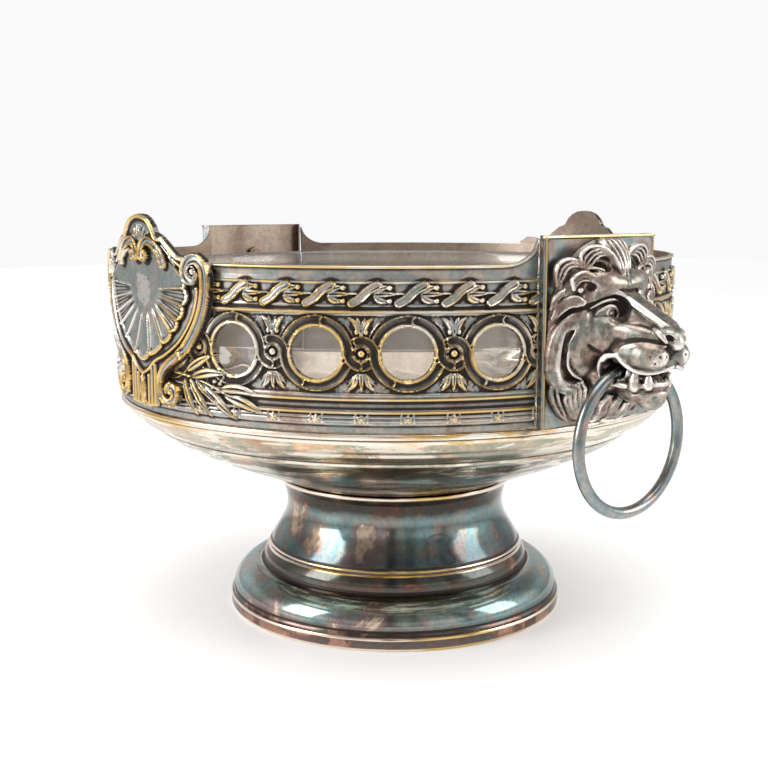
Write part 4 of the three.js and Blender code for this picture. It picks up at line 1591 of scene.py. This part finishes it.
def sculptCheekLock(block):
    # the double lock that frames the cheek, a smooth band between two ridges
    outer = [
        (160.4, 19.4, 174.8), (158, 26.4, 172.9), (155.8, 31.6, 167.4), (154.6, 33.9, 161),
        (153.8, 35, 152.8), (153.8, 34.8, 149), (154.8, 32.8, 143.8), (156, 28.4, 139.8),
        (157.4, 22.8, 138.8)
    ]
    inner = [
        (161, 20.4, 172), (159, 24.4, 170.2), (157.9, 29.2, 166.4), (157.4, 30.8, 161.8),
        (157.2, 32.2, 153), (157.2, 31.8, 149.2), (157.4, 29.2, 144.8), (158.2, 23.4, 142.2)
    ]
    fan(block, outer, inner, 4, 1.1, 0.9, 1.0, 0.9)
    tube(block, outer, 0.95, 0.3, count=70)
    tube(block, inner, 0.9, 0.3, count=70)
    tube(
        block,
        [
            (160.4, 24, 168.6), (159.4, 28.4, 164), (158.8, 29.8, 158.6), (158.6, 30.4, 153),
            (158.6, 29.8, 149), (159.4, 26.4, 145.2)
        ],
        [0.6, 1.1, 1.2, 1.2, 1.1, 0.6], 0.5, carve=True
    )
    tube(
        block,
        [
            (160, 27.2, 162), (159.2, 28.2, 155.4), (159.2, 27.8, 151), (160.2, 25.4, 147.4),
            (161.6, 22, 145.4)
        ],
        [0.5, 0.8, 0.8, 0.7, 0.5], 0.3
    )


def sculptRuff(block):
    # ruff behind the jaw, then the beard in three locks and a middle one
    fan(
        block,
        [
            (156.6, 27.4, 140), (155.6, 25.8, 135), (155, 23, 130.8), (154.2, 19.2, 126.8),
            (153.6, 15.6, 124.8)
        ],
        [
            (162.4, 18.6, 145.4), (161, 18.8, 139.4), (158.8, 16.6, 133), (156.6, 11.6, 128.6),
            (155, 8.2, 126.2)
        ],
        5, 0.95, 0.7
    )
    fan(
        block, [(154.4, 33.4, 142), (154, 31.6, 135.8), (153.6, 27.6, 130), (153.2, 23, 125.4)],
        [(155.2, 30.4, 141), (154.8, 29.2, 136), (154.2, 25.6, 130.6), (153.6, 21.4, 126.2)], 2, 0.9
    )
    for y, x in ((13, 163.4), (8.2, 166.6), (3.2, 168.6)):
        fan(
            block,
            [
                (x, y + 1.6, 137.4), (x - 2.6, y + 3.4, 132.6), (x - 6, y + 1.4, 128),
                (x - 9.4, y + 2.8, 124.4)
            ],
            [
                (x + 0.6, y - 1.6, 137.4), (x - 2, y + 0.2, 132.4), (x - 5.4, y - 1.8, 128),
                (x - 9, y - 0.4, 124.4)
            ],
            3, 0.95, 0.7
        )
    fan(
        block, [(169, 0.9, 133.4), (165.4, 1.2, 129.4), (161.4, 0.6, 126.4), (157.6, 0.8, 124)],
        [(169, 0.2, 133.4), (165.4, 0.2, 129.4), (161.4, 0.2, 126.4), (157.6, 0.2, 124)], 1, 1.1, 0.7
    )


def boxBlur(a, cells):
    # running mean over a cube, one axis after another
    for axis in range(3):
        total = np.cumsum(
            np.pad(a, [(cells + 1, cells) if k == axis else (0, 0) for k in range(3)], "edge"), axis
        )
        wide = 2 * cells + 1
        upper = np.take(total, np.arange(wide, total.shape[axis]), axis)
        lower = np.take(total, np.arange(0, total.shape[axis] - wide), axis)
        a = (upper - lower) / wide
    return a


def netOver(d, low, step):
    # surface nets: one point for each cell that the surface crosses, the mean of its edge
    # crossings, and one quad for each grid edge that changes sign
    inside = d < 0
    n = np.array(d.shape) - 1
    corners = [(i, j, k) for i in (0, 1) for j in (0, 1) for k in (0, 1)]

    def shifted(a, c):
        return a[c[0] : c[0] + n[0], c[1] : c[1] + n[1], c[2] : c[2] + n[2]]

    count = sum(shifted(inside, c).astype(np.int8) for c in corners)
    cells = np.argwhere((count > 0) & (count < 8))
    number = np.full(n, -1, np.int64)
    number[tuple(cells.T)] = np.arange(len(cells))
    total, hits = np.zeros((len(cells), 3)), np.zeros(len(cells))
    for a in corners:
        for axis in range(3):
            if a[axis]:
                continue
            b = tuple(v + (k == axis) for k, v in enumerate(a))
            da, db = (d[tuple((cells + c).T)].astype(float) for c in (a, b))
            crossed = (da < 0) != (db < 0)
            t = np.where(crossed, da / np.where(crossed, da - db, 1), 0)
            spot = cells + a + t[:, None] * (np.arange(3) == axis)
            total[crossed] += spot[crossed]
            hits += crossed
    points = np.asarray(low) + step * total / hits[:, None]
    quads = []
    for axis in range(3):
        u, v = (axis + 1) % 3, (axis + 2) % 3
        first = np.take(inside, np.arange(n[axis]), axis)
        second = np.take(inside, np.arange(1, n[axis] + 1), axis)
        edges = np.argwhere(first != second)
        edges = edges[(edges[:, u] > 0) & (edges[:, v] > 0) & (edges[:, u] < n[u]) & (edges[:, v] < n[v])]
        sides = []
        for du, dv in ((0, 0), (-1, 0), (-1, -1), (0, -1)):
            spot = edges.copy()
            spot[:, u] += du
            spot[:, v] += dv
            sides.append(number[tuple(spot.T)])
        quad = np.column_stack(sides)
        leaving = first[tuple(edges.T)]
        quad[~leaving] = quad[~leaving][:, ::-1]
        quads.append(quad)
    return points, np.vstack(quads), cells


def makeMound(block):
    # a low oval mound that the face and the mane grow from: its height falls as the square root
    # of 1 - k^4, with k the share of the way out to the oval
    part, x, y, z = cell(block, [(152, 0, 165)], 60)
    k = np.sqrt((y / 33) ** 2 + ((z - 164.6) / 40.6) ** 2)
    high = x - 152.4 - 2.4 * np.sqrt(np.clip(1 - k**4, 0, 1))
    join(block, part, high * 0.8 + 12 * np.clip(k - 1, 0, None), 0.5)


def carveSwing(block):
    # room for the ring to hang and swing: a rod round the pivot, as thick as the ring's path is
    # deep at each distance from the middle
    part, x, y, z = cell(block, [(176, 0, 150)], 30)
    sag = ring["radius"] - np.sqrt(np.clip(ring["radius"] ** 2 - y**2, 1, None))
    swing = np.hypot(x - ring["pivot"][0], z - ring["pivot"][1]) - (sag + ring["bar"] + 0.5)
    slope = 167.9 - 0.23 * (ring["pivot"][1] - z) - x
    swing = np.maximum(np.maximum(swing, z - lion["swingTop"]), slope)
    swing = np.where(y < lion["swingHalf"], swing, lion["far"]).astype(np.float32)
    join(block, part, swing, 0.5, carve=True)


def trimBlock(block):
    # the flat back, and the border of the sheet left clear
    x, y, z = (a.reshape([-1 if k == i else 1 for k in range(3)]) for i, a in enumerate(block["axes"]))
    edge = np.maximum(lion["back"] - x, y - lion["half"])
    ends = np.maximum(lion["bottom"] - z, z - lion["top"])
    block["d"] = np.maximum(block["d"], np.maximum(edge, ends)).astype(np.float32)


def surfaceTurn(d, cells):
    # how far the surface bends at each cell, at a small and a larger reach: the blurred field less
    # the field itself, above zero on high places and below zero in hollows
    near = np.clip(d, -2.5, 2.5)
    corners = [(i, j, k) for i in (0, 1) for j in (0, 1) for k in (0, 1)]
    turned = []
    for reach in (2, 6):
        soft = boxBlur(near, reach)
        spots = [tuple((cells + corner).T) for corner in corners]
        turned.append(np.mean([soft[spot] - near[spot] for spot in spots], 0))
    return turned


def thinned(piece, faces):
    # the same surface with fewer triangles, flat parts first
    thin = piece.modifiers.new("thin", "DECIMATE")
    thin.ratio = lion["most"] / (2 * faces)
    whole = piece.data
    seen = piece.evaluated_get(bpy.context.evaluated_depsgraph_get())
    piece.data = bpy.data.meshes.new_from_object(seen)
    piece.modifiers.clear()
    bpy.data.meshes.remove(whole)
    piece.data.name = piece.name


def makeLions():
    # one half of the mask as distances to its surface, mirrored in Y, netted and thinned
    block = makeBlock()
    makeMound(block)
    for sculpt in (
        sculptSkull, sculptBrow, sculptMuzzle, sculptNose, sculptEye, sculptFolds,
        sculptMouth, sculptWhiskers, sculptCurls, sculptCheekLock, sculptRuff,
    ):
        sculpt(block)
    carveSwing(block)
    trimBlock(block)
    d = np.concatenate([block["d"][:, :0:-1], block["d"]], axis=1)
    low = np.array([lion["low"][0], -(block["d"].shape[1] - 1) * lion["step"], lion["low"][2]])
    points, quads, cells = netOver(d, low, lion["step"])
    fine, broad = surfaceTurn(d, cells)
    out = np.clip((points[:, 0] - 153) / 4, 0, 1)
    values = {
        "wear": np.clip(fine * 2.8 + broad * 0.7, 0, 1) * out,
        "dirt": np.clip(-fine * 2.8 - broad * 0.75, 0, 1),
    }
    print("lion sculpted:", len(quads), "faces")
    for name, turn in (("right", 1.0), ("left", -1.0)):
        piece = buildMesh("lionMask_" + name, points * (turn, turn, 1), [quads], values, crease=180)
        thinned(piece, len(quads))
        finishPiece(piece, lionMetal, "bowl", "cast_silver", "lion_head_" + name, "lion_jaw_" + name)


lionMetal = tarnishedSilver(
    "lionMetal",
    plainLook
    | {
        "patch": 19.0,
        "colours": [
            (0.36, (0.24, 0.16, 0.13)), (0.42, (0.46, 0.37, 0.31)), (0.47, (0.24, 0.26, 0.23)),
            (0.52, (0.5, 0.42, 0.36)), (0.57, (0.3, 0.21, 0.18)), (0.64, (0.62, 0.5, 0.43)),
        ],
        "freckle": 0.85,
        "wearFrom": 0.14,
        "wearFull": 0.75,
        "brassFrom": 0.62,
        "bright": (0.9, 0.84, 0.78),
        "rubScale": 30.0,
        "rubStretch": (1, 1, 1),
        "rubFrom": 0.66,
        "rubColour": (0.8, 0.72, 0.67),
        "rough": 0.26,
        "dirtFrom": 0.1,
        "dirtFull": 0.6,
        "grime": (0.05, 0.035, 0.03),
        "bump": 0.14,
    },
)
makeLions()
print("lion masks made")

liner = {
    "outline": [
        (0, 82.6), (69, 82.6), (89, 86), (104, 91.4), (117, 97.8), (126.4, 103.8), (133, 110),
        (137.8, 118), (139.8, 127.6), (140.8, 140), (141.4, 185.2), (142.4, 187.6), (142.5, 189.6),
        (141.4, 190.9), (139.4, 191), (138.1, 190), (137.2, 186), (136.6, 140), (135.2, 129),
        (131, 119.8), (124.4, 111.6), (114, 104.6), (100, 98.2), (84, 93.2), (68, 90.8), (0, 90.6),
    ],
    "cuts": 48,
    "rings": (158, 166),  # heights of the two lens-cut rings
}


def cutGlass(angle, q):
    # shallow upright flutes round the lower wall, as deep as the sine of half the cuts times the
    # angle, and two bell-shaped rings above them
    outside = np.zeros(len(q))
    outside[: int(len(q) * 0.5)] = 1
    low = smoothStep(q[:, 1], 112, 124) * (1 - smoothStep(q[:, 1], 146, 152)) * outside
    flute = -0.2 * np.abs(np.sin(angle * liner["cuts"] / 2)) * low[:, None]
    rings = sum(np.exp(-(((q[:, 1] - z) / 1.6) ** 2)) for z in liner["rings"])
    return flute - 0.15 * (rings * outside)[:, None]


def glassLook():
    # clear glass with a warm tint, smears in its gloss and a slight waviness
    material, tree = newMaterial("clearGlass")
    place = addNode(tree, "ShaderNodeTexCoord").outputs["Object"]
    smear = noise(tree, place, 30, 5, 0.6, 0.5)
    rough = times(tree, ramp(tree, smear, [(0.5, (0, 0, 0)), (0.75, (1, 1, 1))]), 0.09)
    wavy = addNode(
        tree, "ShaderNodeBump",
        {"Strength": 0.12, "Distance": 0.002, "Height": noise(tree, place, 14, 2, 0.5)}
    )
    shader = addNode(
        tree,
        "ShaderNodeBsdfPrincipled",
        {
            "Base Color": (0.99, 0.965, 0.93, 1), "Roughness": rough, "IOR": 1.5,
            "Transmission Weight": 0.9, "Normal": wavy.outputs[0]
        },
    )
    addNode(tree, "ShaderNodeOutputMaterial", {"Surface": shader.outputs[0]})
    return material


finishPiece(
    spunPiece("glassLiner", liner["outline"], 1.6, 288, 1, False, cutGlass), glassLook(), "liner",
    "clear_glass", "glass_liner"
)
print("glass liner made")


def makeFloor():
    # a level sheet of pale paper under the bowl
    size = studio["floorSize"] / 2
    mesh = bpy.data.meshes.new("floorSheet")
    mesh.from_pydata(
        [(-size, -size, 0), (size, -size, 0), (size, size, 0), (-size, size, 0)], [], [(0, 1, 2, 3)]
    )
    floor = bpy.data.objects.new("floorSheet", mesh)
    bpy.context.scene.collection.objects.link(floor)
    # pale paper; for glossy rays it is painted darker away from the bowl, a painted shade that the metal
    # mirrors as a dim room
    material, tree = newMaterial("floorPaper")
    place = addNode(tree, "ShaderNodeTexCoord").outputs["Object"]
    away = addNode(tree, "ShaderNodeVectorMath", {0: place}, operation="LENGTH").outputs["Value"]
    mirrored = ramp(
        tree, away, [(0.2, (0.9, 0.9, 0.9)), (0.45, (0.66, 0.65, 0.64)), (1.0, (0.3, 0.295, 0.29))]
    )
    # painted light: the floor glows a little, more with distance, lightening the shadow under the bowl and
    # the far floor
    paintedFloorGlow = ramp(
        tree, times(tree, away, 0.25),
        [(0.1, (0.1, 0.1, 0.1)), (0.6, (0.17, 0.17, 0.17)), (1.0, (0.2, 0.2, 0.2))]
    )
    glossy = addNode(tree, "ShaderNodeLightPath").outputs["Is Glossy Ray"]
    paper = mixColour(tree, glossy, (0.93, 0.93, 0.935), mirrored)
    shader = addNode(
        tree,
        "ShaderNodeBsdfPrincipled",
        {
            "Base Color": paper,
            "Roughness": 0.3,
            "Specular IOR Level": 0.1,
            "Emission Color": (1, 1, 1, 1),
            "Emission Strength": paintedFloorGlow,
        },
    )
    addNode(tree, "ShaderNodeOutputMaterial", {"Surface": shader.outputs[0]})
    mesh.materials.append(material)


def makeRoom():
    # even white for the camera and the floor; the metal mirrors a dim room with tall pale
    # screens round it
    world = bpy.data.worlds.new("studioWorld")
    bpy.context.scene.world = world
    world.use_nodes = True
    tree = world.node_tree
    tree.nodes.clear()
    direction = addNode(tree, "ShaderNodeTexCoord").outputs["Generated"]
    split = addNode(tree, "ShaderNodeSeparateXYZ", {0: direction})
    height = plus(tree, times(tree, split.outputs[2], 0.5), 0.5)
    room = ramp(
        tree,
        height,
        [
            (0.48, (0.55, 0.55, 0.55)), (0.53, (0.85, 0.85, 0.84)), (0.64, (1.0, 0.99, 0.97)),
            (0.76, (0.5, 0.49, 0.48)), (0.9, (0.36, 0.355, 0.35)), (1.0, (0.9, 0.9, 0.9)),
        ],
    )
    turn = maths(tree, "ARCTAN2", split.outputs[1], split.outputs[0])
    turn = plus(tree, maths(tree, "DIVIDE", turn, 2 * np.pi), 0.5)
    screens = ramp(tree, turn, [(at, (v, v, v)) for at, v in studio["screens"]], False)
    room = mixColour(tree, 1.0, room, screens, "MULTIPLY")
    rays = addNode(tree, "ShaderNodeLightPath").outputs
    colour = mixColour(tree, rays["Is Diffuse Ray"], room, (0.87, 0.87, 0.875))
    colour = mixColour(tree, rays["Is Camera Ray"], colour, (0.955, 0.955, 0.965))
    back = addNode(tree, "ShaderNodeBackground", {"Color": colour, "Strength": 1.0})
    addNode(tree, "ShaderNodeOutputWorld", {"Surface": back.outputs[0]})


def softLight(name, place, width, height, power):
    # a soft box aimed at the bowl
    data = bpy.data.lights.new(name, "AREA")
    data.shape = "RECTANGLE"
    data.size, data.size_y, data.energy = width, height, power
    light = bpy.data.objects.new(name, data)
    bpy.context.scene.collection.objects.link(light)
    light.location = place
    aim = Vector((0, 0, 0.12)) - Vector(place)
    light.rotation_euler = aim.to_track_quat("-Z", "Y").to_euler()


makeFloor()
makeRoom()
for box in studio["boxes"]:
    softLight(*box)
print("studio set")

shown = [name for name, node in nodes.items() if not node.hide_render]
for name in shown:
    nodes[name].data.materials.clear()
    nodes[name].data.materials.append(brownBrass if name.startswith("mask") else plainBrass)
print("fixings in brass:", shown)
